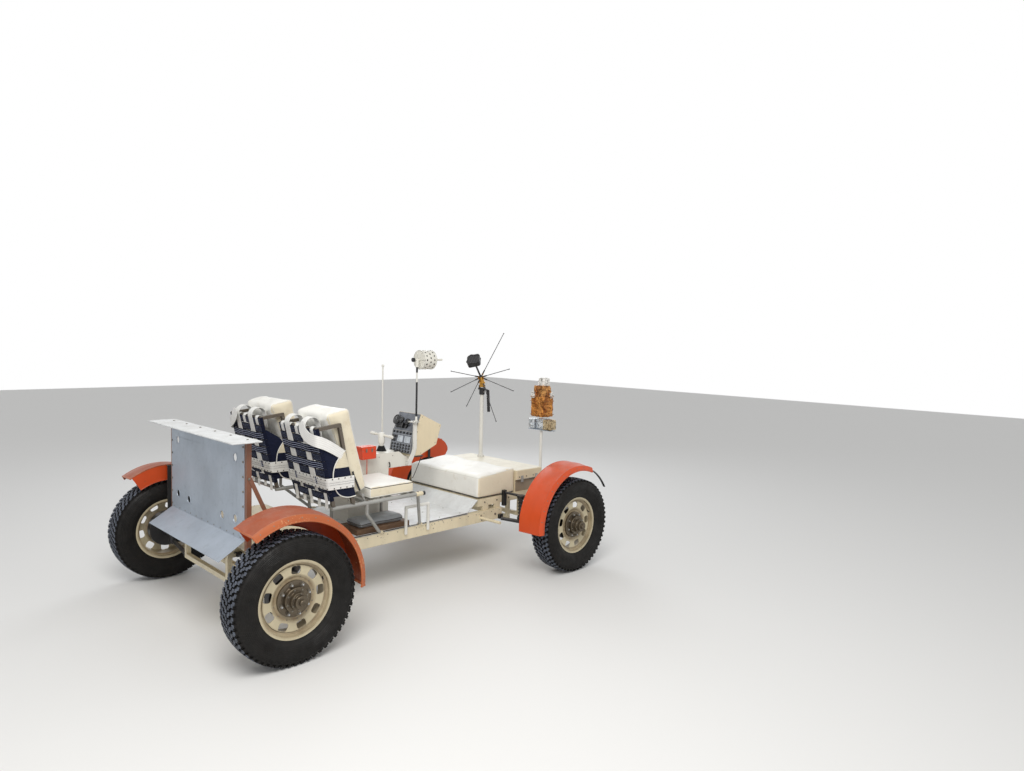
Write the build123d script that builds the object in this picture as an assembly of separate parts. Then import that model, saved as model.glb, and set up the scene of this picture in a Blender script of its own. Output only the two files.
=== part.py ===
from build123d import *
import math
import os

os.makedirs("parts", exist_ok=True)

# Millimetres. X points forward, Y to the left, Z up.
# The origin is on the ground, midway between the axles and between the wheels.

fit_gap = 0.3
sink = 2

# Wheels and where they stand
wheel_base = 2340
axle_x = wheel_base / 2
track_half = 932

# Tyre: radii, and distances w from the wheel's middle plane
tyre_radius = 358
tread_depth = 9.5
tyre_side_w = 95
tyre_side_radius = 285
shoulder_radius = 334
shoulder_w = 83
crown_edge_w = 66
centre_rib_w = 24
lug_count = 40
lug_share = 0.62
lug_inner_w = 34
lug_outer_w = 86
lug_drop = 5
lug_foot = 18
lug_end_rise = 7

# Wheel
rim_flange_radius = 220
rim_flange_w = 66
rim_sheet = 5
bead_radius = 204
bead_w = 59.5
well_radius = 188
well_w = 30
well_step = 6
disc_edge_w = 10
disc_crown_outer = 180
disc_crown_inner = 130
disc_crown_w = 38
disc_sheet = 4
disc_dish_radius = 112
disc_dish_w = 26
window_count = 9
window_start = 6
window_ring_radius = 155
window_radial = 44
window_along = 54
window_corner = 14
window_cut = 60
hub_flange_radius = 98
hub_flange_out_w = 42
hub_step_table = [
    # radius, outer face
    (68, 72),
    (48, 101),
    (36, 125),
    (17, 138),
]
hub_back_radius = 58
hub_back_w = 3
hub_bore_radius = 22.05
hub_bore_end_w = 22
stub_radius = 22
stub_end_w = 16

# Fenders: radii from the fender's own axis, which stands above the axle
fender_rise = 32
fender_shift = 12
fender_inner_y = 822
fender_width = 190
fender_lip = 18
fender_outer_y = fender_inner_y + fender_width
fender_lip_y = fender_outer_y + fender_lip
fender_radius = 442
fender_slope = 12
fender_lip_depth = 32
fender_crown = 2
fender_sheet = 4
fender_edge_radius = fender_radius - fender_slope
fender_lip_radius = fender_edge_radius - fender_lip_depth
rear_fender_start = -6
rear_fender_end = 124
front_fender_start = 68
front_fender_end = 184

# Fender stay and hoop
stay_inner_y = fender_inner_y - 22
stay_sheet = 6
stay_width = 26
stay_foot_z = 405
stay_foot_low = 20
stay_foot_high = 15
stay_gap = 0.5
stay_end_inset = 3
hoop_start = 32
hoop_end = 98
hoop_inset = 9
hoop_width = 20
hoop_edge = 8
hoop_sheet = 4
hoop_radius = fender_edge_radius - hoop_inset

# Steering knuckles and drums
kingpin_inset = 160
kingpin_y = track_half - kingpin_inset
sleeve_radius = 27
sleeve_bore = 14
sleeve_bottom = 315
sleeve_top = 425
pin_radius = 13.95
drum_radius = 122
drum_in_w = -58
drum_out_w = -8
neck_radius = 40
steer_arm_length = 140
steer_arm_half = 14
steer_arm_rise = 35
steer_arm_thick = 12
bracket_reach = 10

# Chassis: low rails under the floor, high rails over the axles
rail_outer = 460
rail_width = 45
rail_bottom = 357
rail_height = 82
rail_top = rail_bottom + rail_height
rail_half_length = 890
low_bar_table = [-868, -430, 0, 430, 868]
low_bar_height = 50
bar_width = 40
bar_seat = 10
peg_x = 665
peg_z = 392
peg_length = 205
peg_rake = 8
peg_radius = 11
high_rail_outer = 440
high_rail_width = 45
high_rail_bottom = 475
high_rail_height = 55
high_rail_top = high_rail_bottom + high_rail_height
high_inner = high_rail_outer - high_rail_width
high_rail_start = 650
high_rail_front = 1420
high_rail_rear = 1300
high_bar_drop = 5
riser_table = [
    # start, end
    (700, 760),
    (835, 890),
]
cradle_half = 330
cradle_bottom = 290
cradle_bar = 30
floor_sheet = 6
floor_top = rail_top + floor_sheet
floor_rear = -650
floor_front = 535
floor_half = rail_outer - 4
toe_half = high_rail_outer - 2
toe_gap = 2
toe_drop = 6
toe_lap = 4

# Suspension, as insets from the axle and distances from the middle plane
lower_joint_z = 290
upper_joint_z = 452
lower_arm_radius = 14
upper_arm_radius = 11
lower_boss = 24
upper_boss = 22
boss_height = 36
trail_inset = 305
trail_y = rail_outer + 18
trail_z = 360
trail_bracket_half = 18
trail_bracket_low = 2
trail_bracket_high = 34
cross_inset = 70
cross_y = cradle_half + 12
cross_z = 310
cross_bracket_half = 15
upper_y = high_rail_outer + 12
upper_z = 492
upper_bracket_half = 14
bracket_lap = 6
spring_inset = 195
spring_y = high_rail_outer + 150
spring_seat_z = 362
spring_seat_half = 20
spring_seat_depth = 22
spring_top = 535
spring_cup_radius = 34
spring_cup = 12
lower_cup_radius = 30
damper_radius = 15
tower_inset = 250
tower_half = 15
tower_out = high_rail_outer + 28
tower_bottom = 450
tower_top = 575
link_rise = 22
link_radius = 10

# Front boxes
box_rear = high_rail_start
box_front = 1070
box_half_width = high_rail_outer
box_top_rear = 702
box_top_front = 737
box_corner = 12
low_box_front = 1330
low_box_half = high_rail_outer - 15
low_box_top = 632
lid_front = 1372
lid_half = high_rail_outer + 6
lid_top = 712
lid_corner = 10

# Rear deck
deck_sheet = 6
deck_top = high_rail_top + deck_sheet
deck_plate = 4
deck_wide_half = 585
deck_wide_rear = -1246
deck_wide_front = -1030

# Board and pad behind the right seat's legs
board_rear = -430
board_front = 0
board_out_y = -430
board_in_y = -200
board_top = 480
pad_inset = 30
pad_out_inset = 14
pad_in_inset = 28
pad_top = 528
pad_corner = 20

# Tool carrier
panel_x = -1250
panel_sheet = 4
panel_half = 550
panel_bottom = 590
panel_top = 1158
hole_table = [
    # across, height, radius
    (434, 1059, 23),
    (434, 701, 23),
    (255, 690, 23),
]
apron_rear_x = -1400
apron_rear_z = 500
angle_out = 572
angle_wide = 30
angle_sheet = 4
shelf_rear = -1365
shelf_front = -1195
shelf_half = 650
shelf_sheet = 8
angle_top = 1164
shelf_top = angle_top + shelf_sheet
brace_top_x = -1232
brace_top_z = 955
brace_foot_x = -1040
brace_foot_z = 530
brace_width = 24
brace_lap = 2

# Seats: drawn for the left seat and mirrored
seat_spacing = 730
seat_y_mid = seat_spacing / 2
seat_half_width = 212
rail_spread = 215
outer_rail_y = seat_y_mid + rail_spread
inner_rail_y = seat_y_mid - rail_spread
seat_tube = 13
seat_rail_z = 700
seat_rail_back = -712
seat_rail_front = 10
leg_radius = 11
front_leg_x = -45
rear_leg_x = -455
rear_cross_x = -690
rear_leg_knee_z = 625
foot_y = rail_outer - 13
front_foot_x = 80
rear_foot_x = -255
rest_tube_x = -485
rest_tube_z = 754
rest_post_radius = 8
rest_post_inset = 20
pan_bar_table = [-380, -250, -120]
pan_bar_rise = 2
cushion_rear = -430
cushion_front = -60
cushion_bottom = seat_rail_z + seat_tube + fit_gap
cushion_top = 792
cushion_corner = 12

# Backrest: block in front, loop frame and webbing behind
block_half_width = 205
block_outline = [
    # x, z
    (-434, 782),
    (-524, 754),
    (-752, 1296),
    (-582, 1330),
]
block_corner = 26
loop_section = 22
loop_set_out = 3
loop_outer_y = outer_rail_y + loop_set_out
loop_inner_y = inner_rail_y - loop_set_out
loop_lap = 0.4
back_front_low_x = -560
back_front_high_x = -667
back_front_high_z = 1218
back_rear_high_x = -820
back_rear_high_z = 1200
back_rear_low_x = -700
back_cross_radius = 9
web_sheet = 3.5
web_bottom = 745
web_top = 1214
web_out = loop_outer_y + loop_section / 2
web_in = loop_inner_y - loop_section / 2
wing_sheet = 6
band_count = 9
band_share = 0.86
upright_count = 5
upright_width = 48
wing_outline_front = [
    # x, z of the wing's front edge
    (-552, 765),
    (-632, 1060),
]
wing_top_z = 950

# Shoulder straps and lap band
lap_sheet = 4
lap_low = 822
lap_high = 900
lap_front_low_x = -562
lap_front_high_x = -585
lap_front_low = 12
lap_front_high = 6
strap_width = 62
strap_radius = 52
strap_turn_rise = 6
strap_foot_z = 898
strap_out = 95
strap_in = 105

# Centre box and hand controller
centre_half = 110
centre_rear = -300
centre_step = 45
centre_under = 800
centre_front = 140
centre_top = 915
nose_front = 232
nose_top = 842
post_half = 60
post_back = 20
post_top_back = 250
post_top_front = 312
handle_x = 55
handle_top = 1034
handle_post_radius = 17
handle_radius = 9
handle_left = (38, 100, 1042)
handle_right = (76, -100, 1027)

# Orange box on its stalk
orange_rear = -235
orange_front = -118
orange_bottom = 900
orange_top = 988
orange_wide = 76
stalk_x = -170
stalk_y = -148
stalk_radius = 3

# Console
console_half = 140
console_bottom = 873
console_outline = [
    # x, z
    (232, console_bottom),
    (268, 1058),
    (323, 1187),
    (517, 1094),
    (471, 943),
    (315, console_bottom),
]
face_half = 132
lower_face = [
    # x, z
    (234.5, 886),
    (267, 1053),
    (255, 1057),
    (222, 889),
]
face_thick = 6
face_top_inset = 4
face_drop = 4.5
gauge_table = [
    # across, along the sloping face, radius, length
    (72, 62, 37, 46),
    (2, 66, 20, 52),
    (-50, 60, 22, 34),
]

# Step hoops
step_rear = -60
step_front = 135
step_low = 398
step_high = 588
step_radius = 11

# Low antenna on its staff beside the console
staff_x = 256
staff_y = -160
staff_radius = 6
staff_bottom = 1132
staff_top = 1588
plate_rear = 214
plate_front = 276
plate_out_y = -178
plate_in_y = -118
plate_sheet = 6
hanger_thick = 12
hanger_outline = [
    # x, z of the strip's centre, from the plate down to the centre box
    (256, staff_bottom),
    (256, 938),
    (244, 896),
    (211, 838),
    (211, 812),
]
hanger_half = 16
lug_rear = 196
lug_front = 226
lug_low = 808
lug_high = 836
drum_axis_z = 1604
drum_start = 278
drum_end = 388
low_drum_radius = 71
drum_shaft_radius = 8
knob_x = 214
knob_length = 16
knob_radius = 14
feed_tip_x = 496
swivel_radius = 14
swivel_low = 1550
swivel_high = 1610

# Masts
mast_x = 1300
mast_y = 240
mast_radius = 17
mast_top = 1300
mast_foot_radius = 28
mast_foot = 20
pole_x = 1400
pole_y = -400
pole_radius = 12
pole_top = 1016
whip_x = 270
whip_y = 300
whip_radius = 6
whip_top = 1540
whip_ball = 11

# High antenna: its head turns on the mast and its dish tilts on the head
aim = -160
head_radius = 25
head_low = 1275
head_high = 1325
head_bore_end = mast_top + fit_gap
ear_in = 20
ear_out = 27
ear_half = 13
ear_base = 1320
ear_base_half = 24
ear_base_thick = 16
trunnion_z = 1350
trunnion_radius = 7
pin_gap = 0.05
grip_table = [
    # start, end, radius
    ((1306, 234, 1328), (1338, 202, 1312), 9),
    ((1338, 202, 1318), (1346, 195, 1120), 13),
]
saddle_half = 11
saddle_top = 1382
boss_radius = 28
boss_low = 1376
boss_high = 1390
boom_low = 1384
boom_radius = 21
junction = (1290, 247, 1430)
junction_radius = 20
rib_radius = 3
feed_offset = (-135, -50, 150)
feed_radius = 8
horn_side = 112
horn_depth = 46
horn_turn = 20
horn_corner = 22
rib_table = [
    # forward, left, up from the junction
    (115, -165, 400),
    (5, -355, 90),
    (45, -370, -100),
    (15, -195, -385),
    (-265, -110, -240),
    (-355, -5, -120),
    (-350, 5, 60),
]

# Camera on its pole
case_bottom = 1022
case_top = 1115
case_right = -534
case_left = -276
case_table = [
    # rear, front, right, left, top
    (1365, 1435, -350, case_left, 1111),
    (1355, 1445, case_right, -444, case_top),
    (1384, 1430, -446, -348, case_top),
]
tray_rear = 1370
tray_front = 1430
spindle_radius = 8
spindle_low = 10
spindle_high = 32
camera_rear = 1330
camera_front = 1470
camera_right = -475
camera_left = -325
camera_low = case_top + 8
camera_high = 1395
camera_corner = 14
cap_rear = 1370
cap_front = 1450
cap_right = -445
cap_left = -370
cap_top = 1462
cap_corner = 16


def block(x0, x1, y0, y1, z0, z1):
    """A box between six planes."""
    centre = Location(((x0 + x1) / 2, (y0 + y1) / 2, (z0 + z1) / 2))
    return centre * Box(abs(x1 - x0), abs(y1 - y0), abs(z1 - z0))


def barrel(radius, low, high):
    """A cylinder about Z between two heights."""
    return Location((0, 0, (low + high) / 2)) * Cylinder(radius, high - low)


def rod(start, end, radius):
    """A round bar between two points."""
    a = Vector(*start)
    b = Vector(*end)
    plane = Plane(origin=a, z_dir=(b - a).normalized())
    return plane * Cylinder(radius, (b - a).length, align=(Align.CENTER, Align.CENTER, Align.MIN))


def tube_run(points, radius):
    """Round bars joined at their ends by balls of the same radius."""
    run = None
    for start, end in zip(points, points[1:]):
        piece = rod(start, end, radius)
        run = piece if run is None else run + piece
    for point in points[1:-1]:
        run += Location(point) * Sphere(radius)
    return run


def strip(start, end, across, width, thickness):
    """A flat bar between two points; its width lies along the given direction."""
    a = Vector(*start)
    b = Vector(*end)
    plane = Plane(origin=a, x_dir=Vector(*across), z_dir=(b - a).normalized())
    bar = Box(width, thickness, (b - a).length, align=(Align.CENTER, Align.CENTER, Align.MIN))
    return plane * bar


def side_profile(points, y0, y1):
    """A prism whose outline is given in X and Z and which runs from y0 to y1."""
    low = min(y0, y1)
    face = make_face(Polyline(*[(x, low, z) for x, z in points], close=True))
    return extrude(face, amount=abs(y1 - y0), dir=(0, 1, 0))


def side_strip(points, half, y0, y1):
    """A prism of constant width that follows a line given in X and Z."""
    left = []
    right = []
    for i, (x, z) in enumerate(points):
        before = points[max(i - 1, 0)]
        after = points[min(i + 1, len(points) - 1)]
        along = Vector(after[0] - before[0], 0, after[1] - before[1]).normalized()
        left.append((x - along.Z * half, z + along.X * half))
        right.append((x + along.Z * half, z - along.X * half))
    return side_profile(left + right[::-1], y0, y1)


def wheel_place(x, side):
    """Turns a wheel built along +Z, outer face up, on to its axle."""
    return Location((x, side * track_half, tyre_radius)) * Rotation(-90 * side, 0, 0)


def turned(points, angle=360):
    """A ring turned from an outline in radius and height about Z."""
    face = make_face(Plane.XZ * Polyline(*points, close=True))
    return revolve(face, Axis.Z, angle)


def round_y(points, start, end):
    """A band turned about Y from an outline in Y and radius; angles run from +X up over to -X."""
    face = make_face(Polyline(*[(0, y, radius) for y, radius in points], close=True))
    band = revolve(face, Axis((0, 0, 0), (0, 1, 0)), end - start)
    return Rotation(0, 90 - end, 0) * band


def both(shape):
    """The shape and its mirror image across the middle plane."""
    return shape + mirror(shape, Plane.XZ)


def pair(shape):
    """Two separate solids, the shape and its mirror image."""
    return Compound(children=[shape, mirror(shape, Plane.XZ)])


def save(shape, name):
    export_step(shape, "parts/" + name + ".step")


# Wheels

def tyre():
    tread_floor = tyre_radius - tread_depth
    seat = bead_radius + fit_gap
    above_flange = rim_flange_radius + 1.5
    above_w = bead_w + 0.7
    bead_out = Line((seat, bead_w), (above_flange, above_w))
    wall_out = ThreePointArc((above_flange, above_w), (tyre_side_radius, tyre_side_w), (shoulder_radius, shoulder_w))
    crown = Polyline(
        (shoulder_radius, shoulder_w),
        (tread_floor - 2, crown_edge_w),
        (tread_floor, centre_rib_w),
        (tyre_radius, centre_rib_w),
        (tyre_radius, -centre_rib_w),
        (tread_floor, -centre_rib_w),
        (tread_floor - 2, -crown_edge_w),
        (shoulder_radius, -shoulder_w),
    )
    wall_in = ThreePointArc((shoulder_radius, -shoulder_w), (tyre_side_radius, -tyre_side_w), (above_flange, -above_w))
    bead_in = Line((above_flange, -above_w), (seat, -bead_w))
    lower = Line((seat, -bead_w), (seat, bead_w))
    outline = make_face(Plane.XZ * (bead_out + wall_out + crown + wall_in + bead_in + lower))
    carcass = revolve(outline, Axis.Z)
    pitch = 360 / lug_count
    lug = turned([
        (tread_floor - lug_foot, lug_inner_w),
        (tyre_radius, lug_inner_w),
        (tyre_radius - lug_drop, shoulder_w - lug_drop),
        (shoulder_radius + lug_end_rise, lug_outer_w),
        (tread_floor - lug_foot, shoulder_w - lug_end_rise),
    ], lug_share * pitch)
    lugs = []
    for i in range(lug_count):
        lugs.append(Rotation(0, 0, i * pitch) * lug)
        lugs.append(Rotation(0, 0, (i + 0.5) * pitch) * mirror(lug, Plane.XY))
    return carcass + lugs


def wheel_disc():
    rim = turned([
        (rim_flange_radius, rim_flange_w),
        (rim_flange_radius, rim_flange_w - rim_sheet),
        (bead_radius, bead_w + 1),
        (bead_radius, well_w + well_step),
        (well_radius, well_w),
        (well_radius, -well_w),
        (bead_radius, -well_w - well_step),
        (bead_radius, -bead_w - 1),
        (rim_flange_radius, -rim_flange_w + rim_sheet),
        (rim_flange_radius, -rim_flange_w),
        (bead_radius - rim_sheet, -bead_w - 2),
        (bead_radius - rim_sheet, -well_w - 2 * well_step),
        (well_radius - rim_sheet, -well_w - well_step),
        (well_radius - rim_sheet, well_w + well_step),
        (bead_radius - rim_sheet, well_w + 2 * well_step),
        (bead_radius - rim_sheet, bead_w + 2),
    ])
    disc = turned([
        (well_radius - sink, disc_edge_w),
        (well_radius - sink, disc_edge_w + disc_sheet),
        (disc_crown_outer, disc_crown_w),
        (disc_crown_inner, disc_crown_w),
        (disc_dish_radius, disc_dish_w + disc_sheet),
        (hub_bore_radius, disc_dish_w + disc_sheet),
        (hub_bore_radius, disc_dish_w),
        (disc_dish_radius, disc_dish_w),
        (disc_crown_inner, disc_crown_w - disc_sheet),
        (disc_crown_outer - disc_sheet, disc_crown_w - disc_sheet),
    ])
    slot = Location((window_ring_radius, 0, disc_dish_w)) * Box(window_radial, window_along, window_cut)
    slot = fillet(slot.edges().filter_by(Axis.Z), window_corner)
    for i in range(window_count):
        disc -= Rotation(0, 0, window_start + 360 / window_count * i) * slot
    hub = barrel(hub_flange_radius, disc_dish_w, hub_flange_out_w)
    hub += barrel(hub_back_radius, hub_back_w, disc_dish_w + sink)
    for radius, out in hub_step_table:
        hub += barrel(radius, disc_dish_w, out)
    return rim + (disc + hub) - barrel(hub_bore_radius, hub_back_w - sink, hub_bore_end_w)


def stub_and_drum(side, x):
    """The drum, its neck and the stub that carries the wheel, on the axle line."""
    base = barrel(drum_radius, drum_in_w, drum_out_w)
    base += barrel(neck_radius, -kingpin_inset, drum_in_w + sink)
    base += barrel(stub_radius, drum_out_w - sink, stub_end_w)
    return wheel_place(x, side) * base


wheel_table = [
    # name, x, side
    ("front_right", axle_x, -1),
    ("front_left", axle_x, 1),
    ("rear_right", -axle_x, -1),
    ("rear_left", -axle_x, 1),
]
tyre_shape = tyre()
disc_shape = wheel_disc()
for name, x, side in wheel_table:
    save(wheel_place(x, side) * tyre_shape, "tyre_" + name)
    save(wheel_place(x, side) * disc_shape, "wheel_" + name)


# Fenders: rolled sheet over each wheel, crowned, with a lip at the outer edge

def fender(x, side, start, end):
    """Angles run from straight ahead, up over the wheel, to straight behind."""
    middle_y = (fender_inner_y + fender_outer_y) / 2
    outline = [
        # y, radius
        (fender_inner_y, fender_radius),
        (middle_y, fender_radius + fender_crown),
        (fender_outer_y, fender_edge_radius),
        (fender_lip_y, fender_lip_radius),
        (fender_lip_y - fender_sheet, fender_lip_radius - 1),
        (fender_outer_y - fender_sheet, fender_edge_radius - fender_sheet - 1),
        (middle_y, fender_radius + fender_crown - fender_sheet),
        (fender_inner_y, fender_radius - fender_sheet),
    ]
    band = round_y([(side * y, radius) for y, radius in outline], start, end)
    return Location((x - fender_shift, 0, tyre_radius + fender_rise)) * band


save(fender(axle_x, -1, front_fender_start, front_fender_end), "fender_front_right")
save(fender(axle_x, 1, front_fender_start, front_fender_end), "fender_front_left")
rear_fenders = Compound(children=[
    fender(-axle_x, -1, rear_fender_start, rear_fender_end),
    fender(-axle_x, 1, rear_fender_start, rear_fender_end),
])
save(rear_fenders, "fenders_rear")


# Knuckles: a sleeve on the kingpin, the drum, a steering arm and the fender stay

def fender_stay(x, side):
    """A flat bar that rises inside the wheel and crosses under the fender."""
    centre_x = x - fender_shift
    under = tyre_radius + fender_rise - fender_sheet - stay_gap
    half = stay_width / 2
    top_in = under + fender_radius
    bar = block(centre_x - half, centre_x + half, side * stay_inner_y,
                side * (stay_inner_y + stay_sheet), stay_foot_z, top_in)
    bar += block(centre_x - half, centre_x + half, side * (kingpin_y + bracket_reach),
                 side * (stay_inner_y + stay_sheet), stay_foot_z - stay_foot_low, stay_foot_z + stay_foot_high)
    crest = [
        # y, z
        (stay_inner_y, top_in),
        (fender_inner_y, top_in),
        ((fender_inner_y + fender_outer_y) / 2, top_in + fender_crown),
        (fender_outer_y - fender_sheet - stay_end_inset, under + fender_edge_radius - 1),
    ]
    outline = crest + [(y, z - stay_sheet) for y, z in reversed(crest)]
    face = make_face(Polyline(*[(centre_x - half, side * y, z) for y, z in outline], close=True))
    return bar + extrude(face, amount=stay_width, dir=(1, 0, 0))


def fender_hoop(x, side):
    """A thin strap that follows the fender's outer edge past its front end."""
    out_y = fender_outer_y - hoop_edge
    outline = [
        # y, radius
        (out_y - hoop_width, hoop_radius - hoop_sheet),
        (out_y - hoop_width, hoop_radius),
        (out_y, hoop_radius),
        (out_y, hoop_radius - hoop_sheet),
    ]
    band = round_y([(side * y, radius) for y, radius in outline], hoop_start, hoop_end)
    return Location((x - fender_shift, 0, tyre_radius + fender_rise)) * band


def knuckle(side):
    at_pin = Location((axle_x, side * kingpin_y, 0))
    arm_z = sleeve_bottom + steer_arm_rise
    shape = stub_and_drum(side, axle_x)
    shape += at_pin * barrel(sleeve_radius, sleeve_bottom, sleeve_top)
    shape += at_pin * block(-steer_arm_length, 0, -steer_arm_half, steer_arm_half, arm_z, arm_z + steer_arm_thick)
    shape += fender_stay(axle_x, side)
    shape += fender_hoop(axle_x, side)
    return shape - at_pin * barrel(sleeve_bore, lower_joint_z, upper_joint_z)


save(knuckle(-1), "knuckle_right")
save(knuckle(1), "knuckle_left")


# Suspension: wishbones at each corner, with the kingpins at the front
# and fixed carriers at the rear

def corner_arms(fore, side):
    """Fore is 1 at the front axle and -1 at the rear."""
    x = fore * axle_x
    y = side * kingpin_y
    low = (x, y, lower_joint_z)
    high = (x, y, upper_joint_z)
    trail_x = x - fore * trail_inset
    cross_x = x + fore * cross_inset
    shape = rod((trail_x, side * trail_y, trail_z), low, lower_arm_radius)
    shape += rod((cross_x, side * cross_y, cross_z), low, lower_arm_radius)
    shape += block(trail_x - trail_bracket_half, trail_x + trail_bracket_half, side * rail_outer,
                   side * (trail_y + bracket_lap), trail_z - trail_bracket_low, trail_z + trail_bracket_high)
    shape += block(cross_x - cross_bracket_half, cross_x + cross_bracket_half, side * cradle_half,
                   side * (cross_y + bracket_lap), cross_z - cross_bracket_half, cross_z + cross_bracket_half)
    for offset in (-cross_inset, cross_inset):
        pivot_x = x + offset
        shape += rod((pivot_x, side * upper_y, upper_z), high, upper_arm_radius)
        shape += block(pivot_x - upper_bracket_half, pivot_x + upper_bracket_half, side * high_rail_outer,
                       side * (upper_y + bracket_lap), upper_z - upper_bracket_half, upper_z + upper_bracket_half)
    seat_x = x - fore * spring_inset
    shape += block(seat_x - spring_seat_half, seat_x + spring_seat_half, side * (spring_y - spring_seat_half),
                   side * (spring_y + spring_seat_half), spring_seat_z - spring_seat_depth, spring_seat_z)
    at_pin = Location((x, y, 0))
    shape += at_pin * barrel(lower_boss, lower_joint_z - boss_height / 2, lower_joint_z + boss_height / 2)
    shape += at_pin * barrel(upper_boss, upper_joint_z - boss_height / 2, upper_joint_z + boss_height / 2)
    if fore > 0:
        return shape + at_pin * barrel(pin_radius, lower_joint_z, upper_joint_z)
    shape += at_pin * barrel(sleeve_radius, lower_joint_z, upper_joint_z)
    return shape + stub_and_drum(side, x) + fender_stay(x, side)


def corner_spring(fore, side):
    tower_x = fore * (axle_x - tower_inset)
    spring_x = fore * (axle_x - spring_inset)
    cup_z = spring_top + spring_cup / 2
    at_spring = Location((spring_x, side * spring_y, 0))
    shape = block(tower_x - tower_half, tower_x + tower_half, side * high_rail_outer, side * tower_out,
                  tower_bottom, tower_top)
    shape += rod((tower_x, side * (tower_out - tower_half), spring_top + link_rise),
                 (spring_x, side * spring_y, cup_z), link_radius)
    shape += at_spring * barrel(spring_cup_radius, spring_top, spring_top + spring_cup)
    shape += at_spring * barrel(lower_cup_radius, spring_seat_z, spring_seat_z + spring_cup)
    return shape + at_spring * barrel(damper_radius, spring_seat_z, cup_z)


corner_table = [
    # fore, side
    (1, -1),
    (1, 1),
    (-1, -1),
    (-1, 1),
]
save(Compound(children=[corner_arms(fore, side) for fore, side in corner_table]), "suspension_arms")
save(Compound(children=[corner_spring(fore, side) for fore, side in corner_table]), "spring_units")


# Chassis

rail_inner = rail_outer - rail_width
frame = both(block(-rail_half_length, rail_half_length, rail_inner, rail_outer, rail_bottom, rail_top))
for x in low_bar_table:
    frame += block(x - bar_width / 2, x + bar_width / 2, -rail_outer + bar_seat, rail_outer - bar_seat,
                   rail_top - low_bar_height, rail_top)
peg_start = rail_outer - bar_seat / 2
frame += both(rod((peg_x, peg_start, peg_z), (peg_x + peg_rake, rail_outer + peg_length, peg_z), peg_radius))
save(frame, "chassis_frame")


def high_bar(x, width):
    return block(x - width / 2, x + width / 2, -high_inner - sink, high_inner + sink,
                 high_rail_bottom + high_bar_drop, high_rail_top)


def high_frame(fore, end):
    """High rails over one axle with risers, cross bars and the wishbone cradle."""
    start_x = fore * high_rail_start
    end_x = fore * end
    shape = both(block(start_x, end_x, high_inner, high_rail_outer, high_rail_bottom, high_rail_top))
    for start, stop in riser_table:
        shape += both(block(fore * start, fore * stop, rail_inner, high_rail_outer, rail_top, high_rail_bottom + 1))
    shape += high_bar(start_x + fore * bar_width / 2, bar_width)
    shape += high_bar(end_x - fore * bar_width / 2, bar_width)
    for offset in (-cross_inset, cross_inset):
        x = fore * axle_x + offset
        half = cradle_bar / 2
        shape += high_bar(x, cradle_bar)
        shape += both(block(x - half, x + half, cradle_half - cradle_bar, cradle_half, cradle_bottom,
                            high_rail_bottom + high_bar_drop + 1))
        shape += block(x - half, x + half, -cradle_half, cradle_half, cradle_bottom, cradle_bottom + cradle_bar)
    return shape


save(Compound(children=[high_frame(1, high_rail_front), high_frame(-1, high_rail_rear)]), "high_frames")

toe_x = box_rear - toe_gap
floor = block(floor_rear, floor_front, -floor_half, floor_half, rail_top, floor_top)
floor += side_profile([
    (floor_front - toe_lap, rail_top),
    (floor_front + toe_lap, rail_top),
    (toe_x, high_rail_top - toe_drop),
    (toe_x, high_rail_top),
    (floor_front - toe_lap / 2, floor_top),
    (floor_front - toe_lap, floor_top),
], -toe_half, toe_half)
save(floor, "floor_pan")


# Boxes and decks

front_box = side_profile([
    (box_rear, high_rail_top),
    (box_front, high_rail_top),
    (box_front, box_top_front),
    (box_rear, box_top_rear),
], -box_half_width, box_half_width)
front_box = fillet(front_box.edges().group_by(Axis.Z)[-1] + front_box.edges().filter_by(Axis.Z), box_corner)
save(front_box, "front_box")

low_box = block(box_front, low_box_front, -low_box_half, low_box_half, high_rail_top, low_box_top)
lid = block(box_front, lid_front, -lid_half, lid_half, low_box_top, lid_top)
lid = fillet(lid.edges().filter_by(Axis.Z) + lid.edges().group_by(Axis.Z)[-1], lid_corner)
save(low_box + lid, "front_low_box")

deck = block(deck_wide_front, -high_rail_start, -high_rail_outer, high_rail_outer, high_rail_top, deck_top)
deck += block(deck_wide_rear, deck_wide_front, -deck_wide_half, deck_wide_half, high_rail_top,
              high_rail_top + deck_plate)
save(deck, "rear_deck")

save(block(board_rear, board_front, board_out_y, board_in_y, floor_top, board_top), "side_board")
pad = block(board_rear + pad_inset, board_front - pad_inset, board_out_y + pad_out_inset, board_in_y - pad_in_inset,
            board_top, pad_top)
pad = fillet(pad.edges().filter_by(Axis.X), pad_corner)
save(pad, "deck_pad")


# Tool carrier at the rear

panel = block(panel_x - panel_sheet, panel_x, -panel_half, panel_half, panel_bottom, panel_top)
for across, height, radius in hole_table:
    for side in (-1, 1):
        panel -= rod((panel_x - angle_wide, side * across, height), (panel_x + angle_wide, side * across, height), radius)
panel += side_profile([
    (panel_x, panel_bottom),
    (panel_x, panel_bottom + panel_sheet),
    (panel_x - panel_sheet, panel_bottom + panel_sheet),
    (apron_rear_x, apron_rear_z + panel_sheet),
    (apron_rear_x, apron_rear_z),
    (panel_x - panel_sheet, panel_bottom - 1),
], -panel_half, panel_half)
save(panel, "tool_panel")

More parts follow.
